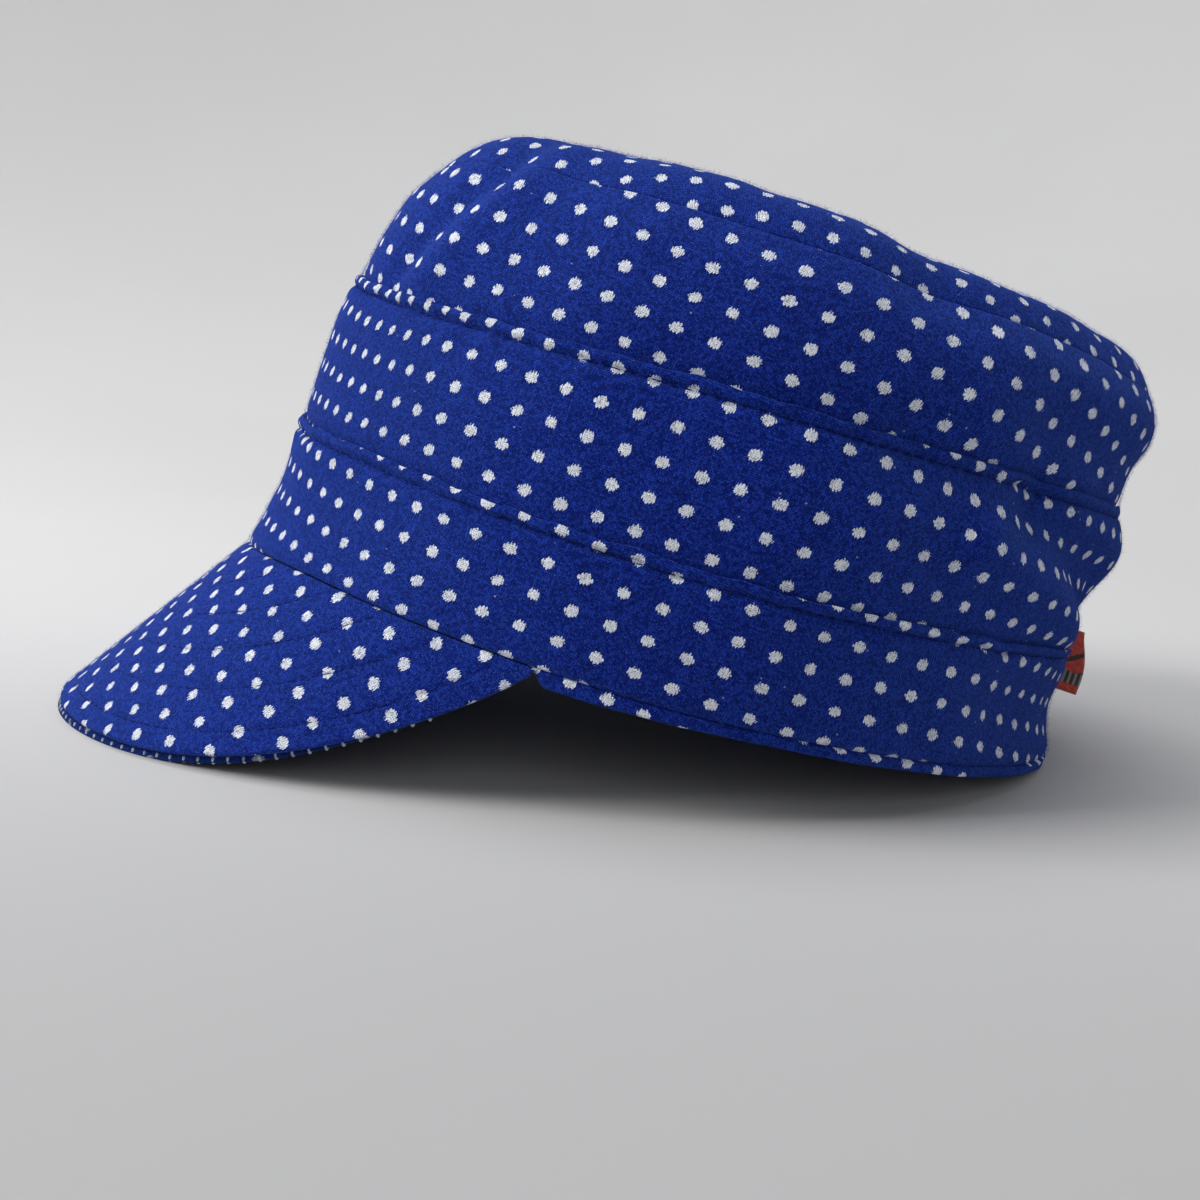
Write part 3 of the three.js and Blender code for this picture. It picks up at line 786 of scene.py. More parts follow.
def cloth_strip(name, columns, rows, lay):
    """A flat strip of cloth, laid on the form by lay(column, row), and sewn up where edges meet.
    lay gives points (m), cloth coordinates (mm) and how much painted shade each place gets."""
    deselect_all()
    bpy.ops.mesh.primitive_grid_add(
        x_subdivisions=columns, y_subdivisions=rows, size=1, calc_uvs=True)
    piece = new_piece(name)
    flat = points_of(piece)
    column = np.rint((flat[:, 0] + 0.5) * columns).astype(int)
    row = np.rint((flat[:, 1] + 0.5) * rows).astype(int)
    points, cloth, painted_shade = lay(column, row)
    set_points(piece, points)
    mesh = piece.data
    corners = np.empty(len(mesh.loops), np.int32)
    mesh.loops.foreach_get("vertex_index", corners)
    mesh.uv_layers[0].name = "cloth"
    mesh.uv_layers[0].data.foreach_set("uv", cloth[corners].astype(np.float32).ravel())
    # Painted shade for the seams' grooves, the peak's rows of stitching and the under cover's edge,
    # read by the jersey's finish
    groove = mesh.attributes.new("painted_shade", "FLOAT", "POINT")
    groove.data.foreach_set("value", painted_shade.astype(np.float32))
    with editing():
        bpy.ops.mesh.remove_doubles(threshold=1e-6)
    return piece


def finished(piece, finish, slot, *nodes):
    """Smooth shading, a finish, the body that the piece rides on and the solids it stands for."""
    choose(piece)
    bpy.ops.object.shade_smooth()
    piece.data.materials.clear()
    piece.data.materials.append(finish_named(finish))
    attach(piece, "root")
    if nodes:
        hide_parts(*nodes)
    return piece


def angle_of(column, columns):
    return column / columns * 2 * math.pi - math.pi


def stitched(form, seam, height, angle, arc, lev, out, sewn):
    """The relief of a covering edge and its topstitching: levels, offsets and the painted shade in
    its groove.
    """
    below = (lev - seam) * height
    plain = form.oval(angle, np.full(len(angle), seam - 0.5))
    around = np.stack([plain[:, 0], plain[:, 1], below * 0.35], -1)
    near = bell(below - GROOVE, GROOVE_REACH) * sewn
    wide = bell(below - GROOVE, DIMPLE_REACH * GROOVE_REACH) * sewn
    pull = np.exp(-np.abs(below - GROOVE) / PULL_REACH) * sewn
    hole = 0.5 + 0.5 * np.cos(2 * math.pi * arc / form.sizes.stitch_length)
    uneven = 0.5 + 0.5 * np.tanh(unevenness(around, 9, 12))
    out = out - near * (GROOVE_DEPTH + HOLE_DEPTH * hole * uneven)
    out = out - DIMPLE_DEPTH * wide * hole
    out = out + PULL_DEPTH * pull * unevenness(around, 6.5, 11)
    calm = 1 - 0.55 * smoothstep(np.abs(angle), *CALM_AT_BACK)
    out = np.where(sewn > 0, out * calm, out)
    edge = smoothstep(below, -7, -0.5) * (below < 3)
    lev = lev + edge * layered(around, EDGE_WAVES) / height
    # Painted shade along the groove, darkest where a stitch goes in
    return lev, out, near * (0.45 + 0.55 * hole * uneven)


def ring_of_cloth(name, form, section, rows_of_grain, band, lapped=True, columns=RING_COLUMNS):
    """A ring of cloth round the crown, its section up the outside first and down the inside last;
    where it is lapped, its upper edge is stitched over the next piece."""
    section = np.array([*section, section[0]], float)
    height = form.lengths[band]

    def lay(column, row):
        angle = angle_of(column, columns)
        lev, out, up, sewn = section[row].T
        arc = form.arc(angle, band + 0.5)
        painted_shade = np.zeros(len(angle))
        if lapped:
            lev, out, painted_shade = stitched(form, band + 1, height, angle, arc, lev, out, sewn)
        points = form.skin(angle, lev, out)
        cloth = in_dots(form.sizes, *grain(rows_of_grain, arc, up / height))
        return laid_down(points), cloth, painted_shade

    return cloth_strip(name, columns, len(section) - 1, lay)


def covering_edge(form, seam, height):
    """The section's upper part: up the outside to the folded edge, over it and back inside."""
    wall = form.sizes.wall
    relief = curve_through(COVER_RELIEF, "length", "out")
    lengths = np.r_[-16:-6:1.0, -6:-0.2:0.28, -0.15]
    roll = [(-0.15 + EDGE_RADIUS * 0.75 * math.cos(turn),
             EDGE_MIDDLE + EDGE_RADIUS * math.sin(turn))
            for turn in np.linspace(math.pi / 2 - 0.5, -math.pi / 2, 8)]
    inner = ((-2.0, -0.3), (-5.0, -0.3), (-7.0, -wall), (-11.0, -wall))
    return [*form.section(seam, [(n, relief(n)) for n in lengths], height, 1),
            *form.section(seam, roll, height, 0.3),
            *form.section(seam, inner, height)]


def tucked_end(wall):
    """The inside of a tucked edge."""
    return (6.0, -wall), (1.5, -2.1), (-4.7, -2.1)


def band_section(form, bottom):
    """The whole section of a band from one seam to the next; the hem's edge isn't tucked in."""
    wall, height = form.sizes.wall, form.lengths[bottom]
    start, end = TUCKED_EDGE, tucked_end(wall)
    if bottom == HEM:
        start, end = HEM_EDGE, ((6.0, -wall), (1.0, -wall))
    body = [(n, 0) for n in np.arange(BODY_FROM, height - COVER_LENGTH, 1.0)]
    return [*form.section(bottom, [*start, *body]),
            *covering_edge(form, bottom + 1, height),
            *form.section(bottom, end)]


def stitch_row(name, path, step=None, size=None):
    """A row of stitches along a path (m): one stitch is modelled, repeated and bent to the path."""
    s = sizes_mm()
    path = np.asarray(path)
    whole = np.linalg.norm(np.diff(path, axis=0), axis=1).sum()
    count = max(int(round(whole / ((step or s.stitch_length) * MM))), 1)
    pitch = whole / count
    size = np.array(size) * MM if size else (pitch * 0.78, s.thread * MM, s.thread * MM)
    deselect_all()
    bpy.ops.mesh.primitive_uv_sphere_add(segments=6, ring_count=6, radius=0.5, location=(0, 0, 0))
    row = new_piece(name)
    with editing():
        bpy.ops.transform.rotate(
            value=math.pi / 2, orient_axis="Y", center_override=(0, 0, 0))
        bpy.ops.transform.resize(value=tuple(size))
        bpy.ops.transform.translate(value=(pitch / 2, 0, 0))
    curve = bpy.data.curves.new(name + "_path", "CURVE")
    curve.dimensions = "3D"
    curve.twist_mode = "Z_UP"
    line = curve.splines.new("POLY")
    line.points.add(len(path) - 1)
    line.points.foreach_set("co", np.c_[path, np.ones(len(path))].astype(np.float32).ravel())
    guide = bpy.data.objects.new(name + "_path", curve)
    bpy.context.scene.collection.objects.link(guide)
    choose(row)
    repeat = row.modifiers.new("repeat", "ARRAY")
    repeat.count = count
    repeat.use_relative_offset = False
    repeat.use_constant_offset = True
    repeat.constant_offset_displace = (pitch, 0, 0)
    bend = row.modifiers.new("bend", "CURVE")
    bend.object = guide
    bpy.ops.object.modifier_apply(modifier="repeat")
    bpy.ops.object.modifier_apply(modifier="bend")
    bpy.data.objects.remove(guide)
    sewn = points_of(row)
    sewn[:, 2] = np.maximum(sewn[:, 2], 0)
    set_points(row, sewn)
    return row


def joined(name, pieces):
    deselect_all()
    for piece in pieces:
        piece.select_set(True)
    bpy.context.view_layer.objects.active = pieces[0]
    bpy.ops.object.join()
    pieces[0].name = pieces[0].data.name = name
    return pieces[0]


class Peak:
    """The peak's shape: a sweep of the hem's curve forwards and down, and its flat cloth."""

    TIP = 2.5  # depth that is left at the very corner (mm)
    FIRST_ROW, ROWS = 5.0, 5  # the topstitching's distance from the edge (mm), and its rows

    def __init__(self, form):
        s = form.sizes
        self.form, self.sizes = form, s
        self.way = np.array([0, -math.cos(s.peak_droop), -math.sin(s.peak_droop)])
        self.angles = np.linspace(-s.peak_half_angle, s.peak_half_angle, 521)
        hem = self.hem(self.angles)
        self.start = hem @ self.way
        level = hem - self.start[:, None] * self.way
        run = np.r_[0, np.cumsum(np.linalg.norm(np.diff(level, axis=0), axis=1))]
        self.across = run - np.interp(0, self.angles, run)
        edge = np.c_[self.across, self.start + self.depth(self.angles)]
        fine, keys = np.linspace(0, len(edge) - 1, 2400), np.arange(len(edge))
        self.edge = np.c_[np.interp(fine, keys, edge[:, 0]), np.interp(fine, keys, edge[:, 1])]

    def hem(self, angle):
        return self.form.oval(angle, np.zeros_like(angle)) - np.array([0, 0, CLEARANCE])

    def depth(self, angle):
        share = np.abs(angle) / self.sizes.peak_half_angle
        swell = np.maximum(1 - share ** 5, 0) ** 0.75
        return self.TIP + (self.sizes.peak_depth - self.TIP) * swell

    def beyond(self, angle):
        """How far the under cover stands out past the upper one."""
        corner = 1 - np.abs(angle) / self.sizes.peak_half_angle
        return self.sizes.peak_beyond * smoothstep(corner, 0.01, 0.2)

    def flat(self, angle, depth):
        """Place of a point in the flat cloth: across from the middle, and down."""
        return np.stack([np.interp(angle, self.angles, self.across),
                         np.interp(angle, self.angles, self.start) + depth], -1)

    def from_edge(self, flat):
        """Distance of flat points from the peak's edge."""
        far = np.empty(len(flat))
        for i in range(0, len(flat), 4000):
            part = flat[i:i + 4000, None] - self.edge[None, ::4]
            far[i:i + 4000] = np.sqrt((part ** 2).sum(-1)).min(1)
        return far

    def surface(self, angle, depth, inset):
        inward = -self.form.normal(angle, np.zeros_like(angle))
        square = -inset * (inward @ self.way)
        share = depth / np.maximum(self.depth(angle), 0.01)
        return (self.hem(angle)
                + inward * np.asarray(inset)[..., None]
                + self.way * (depth + square * share)[..., None])

    def rows(self):
        """Distances of the rows of topstitching from the edge."""
        return self.FIRST_ROW + np.arange(self.ROWS) * self.sizes.peak_row_step

    def relief(self, flat):
        """How far the cover is pulled in by its stitching, and the painted shade along its rows of
        stitching.
        """
        far = self.from_edge(flat)
        pulled = np.max([bell(far - row, 0.55) for row in self.rows()], axis=0)
        puff = 0.16 * unevenness(np.c_[flat, 0 * far], 9, 21)
        return 0.2 * pulled + puff * 0.5, pulled * 0.35

    def cloth(self, flat):
        low, high = PEAK_GRAIN_SPAN
        share = (flat[:, 1] - low) / (high - low)
        return in_dots(self.sizes, *grain(PEAK_GRAIN, flat[:, 0], share))

    def layer(self, name, top, bottom, roll, columns, fine, under=False):
        """One cover of the peak between two insets, with a rolled edge and closed corners; the
        upper one is stitched, and the under one stands out past it."""
        half_angle, thick = self.sizes.peak_half_angle, bottom - top
        radius = min(roll, thick / 2)
        shares = np.r_[np.linspace(0, 0.9, fine - 12), np.linspace(0.9, 1, 13)[1:]]
        section = [(share, 0.0, top) for share in shares]
        for turn in np.linspace(0, math.pi, 9)[1:-1]:
            section.append((1, math.sin(turn), top + thick / 2 * (1 - math.cos(turn))))
        section += [(share, 0.0, bottom) for share in shares[::-1]]
        section = np.array([*section[::-1], section[-1]], float)

        def lay(column, row):
            place = (column - 1) / (columns - 2)
            angle = np.clip(place * 2 - 1, -1, 1) * half_angle
            share, round_off, inset = section[row].T
            whole = self.depth(angle)
            reach = self.beyond(angle) if under else 0.0
            depth = (whole + reach - radius) * share + radius * round_off
            flat = self.flat(angle, depth)
            if under:
                # Painted shade: the under cover's edge strip turns dark blue, hiding its dots,
                # where it lies below the upper cover
                painted_shade = 1.3 * smoothstep(depth, whole - 1.5, whole - 0.5)
            else:
                pulled, painted_shade = self.relief(flat)
                upper = np.clip(1 - (inset - top) / thick, 0, 1)
                # Painted shade along the rows of stitching, on the upper face only
                painted_shade = painted_shade * upper
                inset = inset + pulled * upper * smoothstep(share, 0, 0.06)
                inset = inset + 0.7 * upper * (1 - smoothstep(depth, 0, 2.4))
            closing = (column == 0) | (column == columns)
            inset = np.where(closing, (top + bottom) / 2, inset)
            return laid_down(self.surface(angle, depth, inset)), self.cloth(flat), painted_shade

        return cloth_strip(name, columns, len(section) - 1, lay)

    def offset_row(self, inset, over):
        """The path of one row of topstitching, in metres."""
        way = np.gradient(self.edge, axis=0)
        way /= np.linalg.norm(way, axis=1, keepdims=True) + 1e-9
        line = self.edge + np.stack([way[:, 1], -way[:, 0]], -1) * inset
        depth = line[:, 1] - np.interp(line[:, 0], self.across, self.start)
        kept = (self.from_edge(line) > inset - 0.12) & (depth > 1.5)
        angle = np.interp(line[kept, 0], self.across, self.angles)
        return laid_down(self.surface(angle, depth[kept], np.full(len(angle), over)))[::3]


class CapOperator:
    bl_options = {"REGISTER", "UNDO"}

    def execute(self, context):
        self.make(Form(sizes_mm()))
        return {"FINISHED"}


class CAP_OT_lower_band(CapOperator, bpy.types.Operator):
    """Make the band that meets the hem and the peak"""
    bl_idname = "cap.lower_band"
    bl_label = "Lower band"

    def make(self, form):
        piece = ring_of_cloth("lower_band_jersey", form, band_section(form, HEM), LOWER_GRAIN, HEM)
        finished(piece, "jersey_dots", "jersey", "lower_band")


class CAP_OT_mid_band(CapOperator, bpy.types.Operator):
    """Make the wide band between the two lapped seams"""
    bl_idname = "cap.mid_band"
    bl_label = "Mid band"

    def make(self, form):
        section = band_section(form, LOWER_SEAM)
        piece = ring_of_cloth("mid_band_jersey", form, section, MID_GRAIN, LOWER_SEAM)
        finished(piece, "jersey_dots", "jersey", "mid_band")


class CAP_OT_crown_side(CapOperator, bpy.types.Operator):
    """Make the upper crown between the upper seam and the top panel"""
    bl_idname = "cap.crown_side"
    bl_label = "Crown side"

    def make(self, form):
        height, wall = form.sizes.crown_side, form.sizes.wall
        body = [(n, 0) for n in np.arange(BODY_FROM, height - 3.4, 0.75)]
        inside = [(n, -wall) for n in (0.05, -3.0, -9.0, -16.0)]
        section = [*form.section(UPPER_SEAM, [*TUCKED_EDGE, *body]),
                   *form.section(TOP_SEAM, [*SIDE_TOP_EDGE, *inside], height),
                   *form.section(UPPER_SEAM, tucked_end(wall))]
        piece = ring_of_cloth(
            "crown_side_jersey", form, section, SIDE_GRAIN, UPPER_SEAM, lapped=False, columns=840)
        finished(piece, "jersey_dots", "jersey", "crown_side")


class CAP_OT_crown_top(CapOperator, bpy.types.Operator):
    """Make the oval top panel"""
    bl_idname = "cap.crown_top"
    bl_label = "Crown top"

    def make(self, form):
        s, columns = form.sizes, 480
        rows = [(form.level_by(TOP_SEAM, n), out) for n, out in PANEL_EDGE]
        reaches = np.r_[0.96:0.5:-0.012, 0.5:0.02:-0.03, 0.01, 0.0]
        rows += [(CREST - reach, 0.0) for reach in reaches]
        inside = [(CREST - reach, -s.wall) for reach in (0.0, 0.05, 0.2, 0.4, 0.6, 0.78, 0.9, 0.96)]
        inside.append((form.level_by(TOP_SEAM, 0.2), -s.wall))
        section = np.array([*rows, *inside, rows[0]], float)
        back, left = TOP_GRAIN_FROM
        back_step, left_step = TOP_GRAIN_STEPS
        steps = np.linspace(0, 1, 101)

        def unrolled(angle, lev):
            """Places on the top panel, laid flat along each line from its middle."""
            middle = form.oval(np.zeros(1), np.full(1, float(CREST)))[0, :2]
            plan = form.oval(angle, lev)[:, :2] - middle
            way = form.oval(angle, np.full_like(angle, TOP_SEAM))[:, :2] - middle
            reach = np.linalg.norm(way, axis=1)
            share = np.linalg.norm(plan, axis=1) / reach
            rise = s.top_rise * (form.dome(steps[1:]) - form.dome(steps[:-1]))
            run = np.hypot(reach[:, None] / (len(steps) - 1), rise)
            run = np.c_[np.zeros(len(run)), np.cumsum(run, axis=1)]
            place = np.clip(share, 0, 1) * (len(steps) - 1)
            low = np.minimum(place.astype(int), len(steps) - 2)
            every = np.arange(len(run))
            far = run[every, low] + (run[every, low + 1] - run[every, low]) * (place - low)
            return middle + way / reach[:, None] * far[:, None]

        def lay(column, row):
            angle = angle_of(column, columns)
            lev, out = section[row].T
            points = form.skin(np.where(lev > CREST - 0.002, 0, angle), lev, out)
            flat = unrolled(angle, np.minimum(lev, CREST))
            cloth = in_dots(s, (flat[:, 1] - back) / back_step, (flat[:, 0] - left) / left_step)
            return laid_down(points), cloth, np.zeros(len(angle))

        piece = cloth_strip("crown_top_jersey", columns, len(section) - 1, lay)
        finished(piece, "jersey_dots", "jersey", "crown_top")


class CAP_OT_sweatband(CapOperator, bpy.types.Operator):
    """Make the sweatband, whose rolled edge shows below the hem behind the peak"""
    bl_idname = "cap.sweatband"
    bl_label = "Sweatband"

    def make(self, form):
        s, columns = form.sizes, 600
        corner = math.degrees(s.peak_half_angle)
        out, radius = -s.wall - CLEARANCE, s.wall / 2
        # Shares of the way along the lip, the wall, the back and the roll under the lip
        spans = ((0, 1, 9), (0, 1, 14), (1, 0, 14), (0, 1, 8))
        section = [(part, t) for part, span in enumerate(spans) for t in np.linspace(*span)]
        section = np.array([*section, section[0]])

        def lay(column, row):
            angle = angle_of(column, columns)
            turn = np.abs(np.degrees(angle))
            show = smoothstep(turn, corner - 1.5, corner + 1.5)
            part, t = section[row].T
            part = part.astype(int)
            lip = out + (-0.2 - out) * show
            low = -(s.hem_show + 0.9 * (1 - smoothstep(turn, corner, corner + 30))) * show
            height = np.choose(part, [
                low + radius * show + (-0.45 * show - low - radius * show) * t,
                0.1 + (s.sweatband - 0.1) * t,
                s.sweatband * t + low * (1 - t) + radius * (1 - t),
                low + radius * show * (1 - np.sin(t * math.pi))])
            offset = np.choose(part, [
                lip,
                np.full(len(t), out),
                out - s.wall + (lip - out) * (1 - t) ** 8,
                lip - radius * (1 + np.cos(t * math.pi))])
            level = form.level_by(HEM, height)
            plain = form.oval(angle, np.zeros(len(angle)))
            points = form.skin(angle, level, offset + 0.12 * show * unevenness(plain, 12, 31))
            share = height / s.lower_band
            cloth = in_dots(s, *grain(LOWER_GRAIN, form.arc(angle, 0.0), share))
            return laid_down(points), cloth, np.zeros(len(angle))

        piece = cloth_strip("sweatband_jersey", columns, len(section) - 1, lay)
        finished(piece, "jersey_dots", "inner_jersey", "sweatband")


class CAP_OT_peak(CapOperator, bpy.types.Operator):
    """Make the upper and the under cover of the peak"""
    bl_idname = "cap.peak"
    bl_label = "Peak"

    def make(self, form):
        peak, cover = Peak(form), form.sizes.peak_cover
        piece = peak.layer("peak_top_jersey", 0.0, cover, 1.2, 420, 64)
        finished(piece, "jersey_dots", "jersey", "peak_top")
        piece = peak.layer("peak_under_jersey", cover - 0.5, cover + 1.0, 0.7, 300, 40, under=True)
        finished(piece, "jersey_dots", "jersey", "peak_under")


class CAP_OT_topstitching(CapOperator, bpy.types.Operator):
    """Sew the rows of topstitching below both lapped seams and over the peak"""
    bl_idname = "cap.topstitching"
    bl_label = "Topstitching"

    def make(self, form):
        s, peak = form.sizes, Peak(form)
        out = float(curve_through(COVER_RELIEF, "length", "out")(GROOVE)) - GROOVE_DEPTH
        angle = np.linspace(-math.pi, math.pi, 961)
        rows = []
        for seam in (LOWER_SEAM, UPPER_SEAM):
            level = np.full_like(angle, form.level_by(seam, GROOVE))
            path = laid_down(form.skin(angle, level, out))
            rows.append(stitch_row(f"seam_stitches_{seam}", path))
        finished(joined("seam_topstitching", rows), "thread", "jersey")
        rows = [stitch_row(f"peak_stitches_{number}", peak.offset_row(inset, 0.24))
                for number, inset in enumerate(peak.rows())]
        finished(joined("peak_topstitching", rows), "thread", "jersey")
        angle = np.linspace(-0.96, 0.96, 700) * s.peak_half_angle
        depth = peak.depth(angle) + peak.beyond(angle) - 1.0
        edge = peak.surface(angle, depth, np.full(len(angle), s.peak_cover - 0.2))
        piece = stitch_row("peak_edge_stitches", laid_down(edge), 3.7, (0.95, 0.8, 1.8))
        finished(piece, "pale_thread", "jersey")


class CAP_OT_label_tab(CapOperator, bpy.types.Operator):
    """Make the small folded ribbon tab at the centre back"""
    bl_idname = "cap.label_tab"
    bl_label = "Back tab"

    def make(self, form):
        tall, widest, taper, root = 17.0, 10.6, 1.4, 0.9
        fold = 0.12  # the share of each half of the ribbon that the fold takes
        top, bottom = (form.level_by(LOWER_SEAM, n) for n in (2.0, 2.0 - tall))
        across, rows = 40, 44

        def lay(column, row):
            share, t = column / across, row / rows
            wind = (share - 0.5) * 2
            reach = widest - taper * t
            tip = root + reach * (1 - fold) + 0.5 * np.cos(wind / fold * math.pi / 2)
            out = np.where(np.abs(wind) < fold, tip, root + reach * (1 - np.abs(wind)))
            half = 0.42 * np.sign(wind) * np.minimum(np.abs(wind) / fold, 1) ** 0.6
            half = half + 0.25 * np.sin(t * 5.0) * np.clip(out / reach, 0, 1)
            level = bottom + (top - bottom) * t
            points = form.skin(
                np.full(len(t), math.pi), level, out + 0.35 * np.sin(t * math.pi))
            points[:, 0] += half
            cloth = np.stack([share * widest * 2, t * tall], -1)
            return laid_down(points), cloth, np.zeros(len(t))

        piece = cloth_strip("back_tab_ribbon", across, rows, lay)
        choose(piece)
        wall = piece.modifiers.new("wall", "SOLIDIFY")
        wall.thickness = 0.00045
        wall.offset = 0
        bpy.ops.object.modifier_apply(modifier="wall")
        finished(piece, "woven_ribbon", "tab", "label_tab")


class CAP_OT_fuzz(CapOperator, bpy.types.Operator):
    """Scatter the loose fibres that stand off the jersey"""
    bl_idname = "cap.fuzz"
    bl_label = "Loose fibres"

    def make(self, form):
        self.sizes, self.chance = form.sizes, np.random.default_rng(8)
        self.model_fibre()
        chance, count, step = self.chance, FIBRES, 0.01
        for name, low, high in (("lower_fuzz", 0.02, 1.0), ("mid_fuzz", 1.0, 2.0),
                                ("crown_fuzz", 2.0, 3.0), ("top_fuzz", 3.0, 4.0)):
            angle = chance.uniform(-math.pi, math.pi, count)
            level = chance.uniform(low, high, count)
            if low == TOP_SEAM:
                level = CREST - np.sqrt(chance.uniform(0, 1, count))
            root = form.skin(angle, level, 0.1)
            side = form.skin(angle + step, level, 0.1) - root
            rise = form.skin(angle, np.minimum(level + step, 3.999), 0.1) - root
            self.scatter(name, root, np.cross(side, rise))
        peak, half_angle = Peak(form), form.sizes.peak_half_angle
        angle = chance.uniform(-half_angle, half_angle, count)
        depth = peak.depth(angle) * chance.uniform(0, 1, count)
        root = peak.surface(angle, depth, np.zeros(count))
        side = peak.surface(angle + step, depth, np.zeros(count)) - root
        rise = np.broadcast_to(-peak.way, root.shape)
        self.scatter("peak_fuzz", root, np.cross(side, rise))

    def model_fibre(self):
        """Model one fibre, a narrow spindle from 0 to 1 along Z, and keep its points and faces."""
        deselect_all()
        bpy.ops.mesh.primitive_circle_add(
            vertices=3, radius=0.5, fill_type="TRIFAN", location=(0, 0, 0.5))
        fibre = new_piece("fibre")
        with editing():
            bpy.ops.mesh.duplicate()
        shape = points_of(fibre)
        tips = np.flatnonzero(np.linalg.norm(shape[:, :2], axis=1) < 0.1)
        shape[tips, 2] = (0, 1)
        set_points(fibre, shape)
        with editing():
            bpy.ops.mesh.remove_doubles(threshold=0.001)
            bpy.ops.mesh.normals_make_consistent(inside=False)
        self.shape = points_of(fibre)
        self.faces = np.array([tuple(face.vertices) for face in fibre.data.polygons])
        bpy.data.objects.remove(fibre)

    def scatter(self, name, root, out):
        """One piece of fuzz: a fibre at each root, leaning at random from the way out."""
        s, chance, shape, count = self.sizes, self.chance, self.shape, len(root)
        out = out / (np.linalg.norm(out, axis=1, keepdims=True) + 1e-9)
        way = out + chance.normal(0, 0.7, (count, 3))
        way -= out * np.minimum((way * out).sum(1) - 0.3, 0)[:, None]
        way = unit(way)
        bend = chance.normal(0, 0.5, (count, 3))
        long = s.fuzz_length * chance.uniform(0.4, 1.3, count)[:, None, None]
        thick = s.fuzz_thickness * chance.uniform(0.7, 1.3, count)[:, None, None]
        first = unit(np.cross(way, chance.normal(size=(count, 3))))
        second = np.cross(way, first)
        along = shape[None, :, 2:3]
        points = (root[:, None] + way[:, None] * along * long
                  + bend[:, None] * along ** 2 * long * 0.6
                  + first[:, None] * shape[None, :, :1] * thick
                  + second[:, None] * shape[None, :, 1:2] * thick)
        every = self.faces[None] + (np.arange(count) * len(shape))[:, None, None]
        mesh = bpy.data.meshes.new(name)
        mesh.from_pydata(
            laid_down(points.reshape(-1, 3)).tolist(), [], every.reshape(-1, 3).tolist())
        piece = bpy.data.objects.new(name, mesh)
        bpy.context.scene.collection.objects.link(piece)
        finished(piece, "loose_fibres", "jersey")


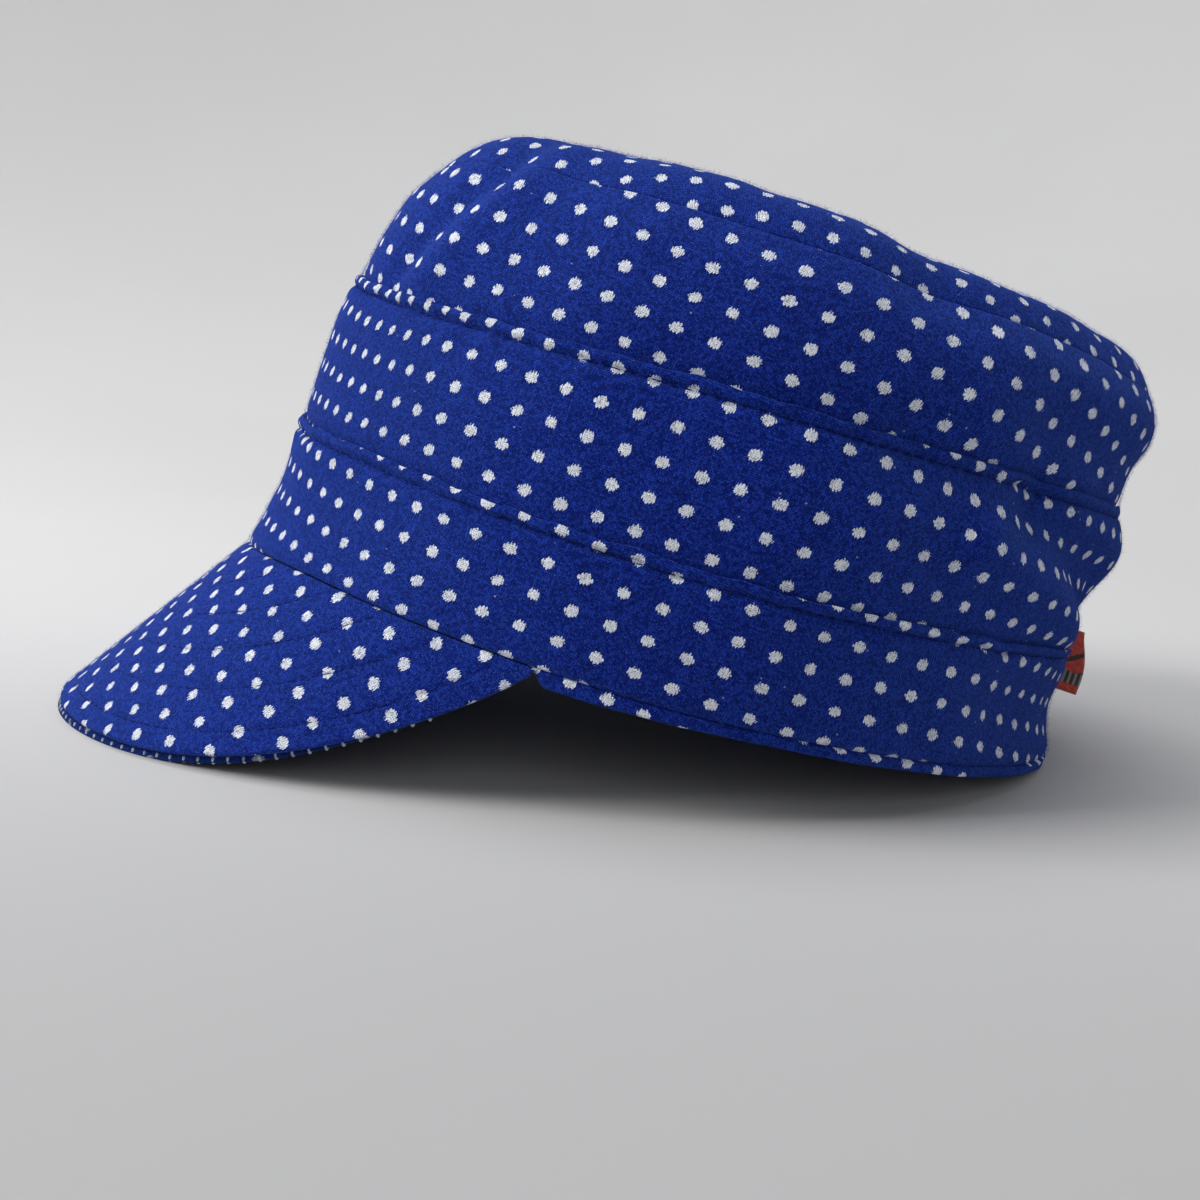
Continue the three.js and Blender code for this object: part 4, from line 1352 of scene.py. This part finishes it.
class CAP_OT_stage(bpy.types.Operator):
    """Lay the floor and its curved backdrop, and set the lights and the camera"""
    bl_idname = "cap.stage"
    bl_label = "Stage"
    bl_options = {"REGISTER", "UNDO"}

    LIGHTS = (  # name, place, aim, size, power and tint
        ("key", (0.3, -1.3, 0.95), (0, 0, 0.05), 0.8, 26.0, (1.0, 0.99, 0.97)),
        ("fill", (1.4, 0.4, 0.8), (0, 0, 0.05), 1.0, 4.4, (0.95, 0.97, 1.0)),
        ("top", (0.0, -0.2, 2.0), (0, 0, 0), 1.4, 16.0, (1.0, 1.0, 1.0)),
        ("backdrop", (-0.4, 0.2, 1.9), (-2.0, 0.3, 0.9), 1.6, 21.0, (1.0, 1.0, 1.0)),
    )

    def execute(self, context):
        self.lay_floor(context.scene.cap_colours.floor)
        for name, place, aim, size, power, tint in self.LIGHTS:
            way = Vector(aim) - Vector(place)
            deselect_all()
            bpy.ops.object.light_add(
                type="AREA", location=place, rotation=way.to_track_quat("-Z", "Y").to_euler())
            lamp = context.object
            lamp.name = lamp.data.name = name
            lamp.data.size = size
            lamp.data.energy = power
            lamp.data.color = tint
            lamp.visible_camera = False
        world = bpy.data.worlds.new("studio")
        world.use_nodes = True
        background = world.node_tree.nodes["Background"].inputs
        background[0].default_value = (0.82, 0.86, 0.92, 1)
        background[1].default_value = 0.17
        context.scene.world = world
        context.scene.view_settings.view_transform = "Standard"
        deselect_all()
        bpy.ops.object.camera_add(
            location=(0.297967, 0.013492, 0.07435),
            rotation=tuple(math.radians(a) for a in (81.223, -3.081, 92.902)))
        camera = context.object
        camera.name = camera.data.name = "camera"
        camera.data.sensor_width = 36
        camera.data.lens = 35.459
        camera.data.clip_start = 0.01
        context.scene.camera = camera
        return {"FINISHED"}

    def lay_floor(self, pale):
        """A round floor that curves up into a wall, with painted shade that darkens it towards the
        camera.
        """
        flat, curve, wall = 0.55, 1.6, 1.0
        deselect_all()
        bpy.ops.mesh.primitive_circle_add(
            vertices=128, radius=flat, fill_type="NGON", location=(0, 0, 0))
        floor = new_piece("floor")
        profile = [(flat + curve * math.sin(turn), curve * (1 - math.cos(turn)))
                   for turn in np.linspace(0, math.pi / 2, 25)]
        profile.append((flat + curve, curve + wall))
        with editing():
            bpy.ops.mesh.select_mode(type="EDGE")
            for (radius, height), (wider, higher) in zip(profile, profile[1:]):
                bpy.ops.mesh.extrude_edges_move()
                bpy.ops.transform.resize(value=(wider / radius, wider / radius, 1))
                bpy.ops.transform.translate(value=(0, 0, higher - height))
        choose(floor)
        bpy.ops.object.shade_smooth()
        nodes, shader = new_material("pale_backdrop", 0.85, Specular_IOR_Level=0.1)
        place = nodes.place()
        mottle = nodes.remap(nodes.noise(place, 2.0, 2), 0.3, 0.7)
        # Painted shade: the floor is darkened towards the camera, down to 0.72 of its grey
        near = nodes.remap(nodes.split(place)[0], -0.1, 0.24)
        mottled = nodes.mixed(mottle, toned(pale, 0.97), pale)
        nodes.feed(shader["Base Color"], nodes.mixed(near, mottled, toned(pale, 0.72)))
        floor.data.materials.append(bpy.data.materials["pale_backdrop"])


OPERATORS = [
    CAP_OT_lower_band, CAP_OT_mid_band, CAP_OT_crown_side, CAP_OT_crown_top, CAP_OT_sweatband,
    CAP_OT_peak, CAP_OT_topstitching, CAP_OT_label_tab, CAP_OT_fuzz, CAP_OT_stage,
]


class CAP_PT_panel(bpy.types.Panel):
    """Sizes, colours and pieces of the cap"""
    bl_idname = "CAP_PT_panel"
    bl_label = "Cadet cap"
    bl_space_type = "VIEW_3D"
    bl_region_type = "UI"
    bl_category = "Cap"

    def draw(self, context):
        for group in (context.scene.cap_sizes, context.scene.cap_colours):
            box = self.layout.box()
            for name in type(group).__annotations__:
                box.prop(group, name)
        for operator in OPERATORS:
            self.layout.operator(operator.bl_idname)


CLASSES = [CapSizes, CapColours, *OPERATORS, CAP_PT_panel]


def register():
    for item in CLASSES:
        bpy.utils.register_class(item)
    bpy.types.Scene.cap_sizes = bpy.props.PointerProperty(type=CapSizes)
    bpy.types.Scene.cap_colours = bpy.props.PointerProperty(type=CapColours)


def unregister():
    del bpy.types.Scene.cap_colours
    del bpy.types.Scene.cap_sizes
    for item in reversed(CLASSES):
        bpy.utils.unregister_class(item)


def main():
    register()
    for operator in OPERATORS:
        group, name = operator.bl_idname.split(".")
        getattr(getattr(bpy.ops, group), name)()


if __name__ == "__main__":
    main()
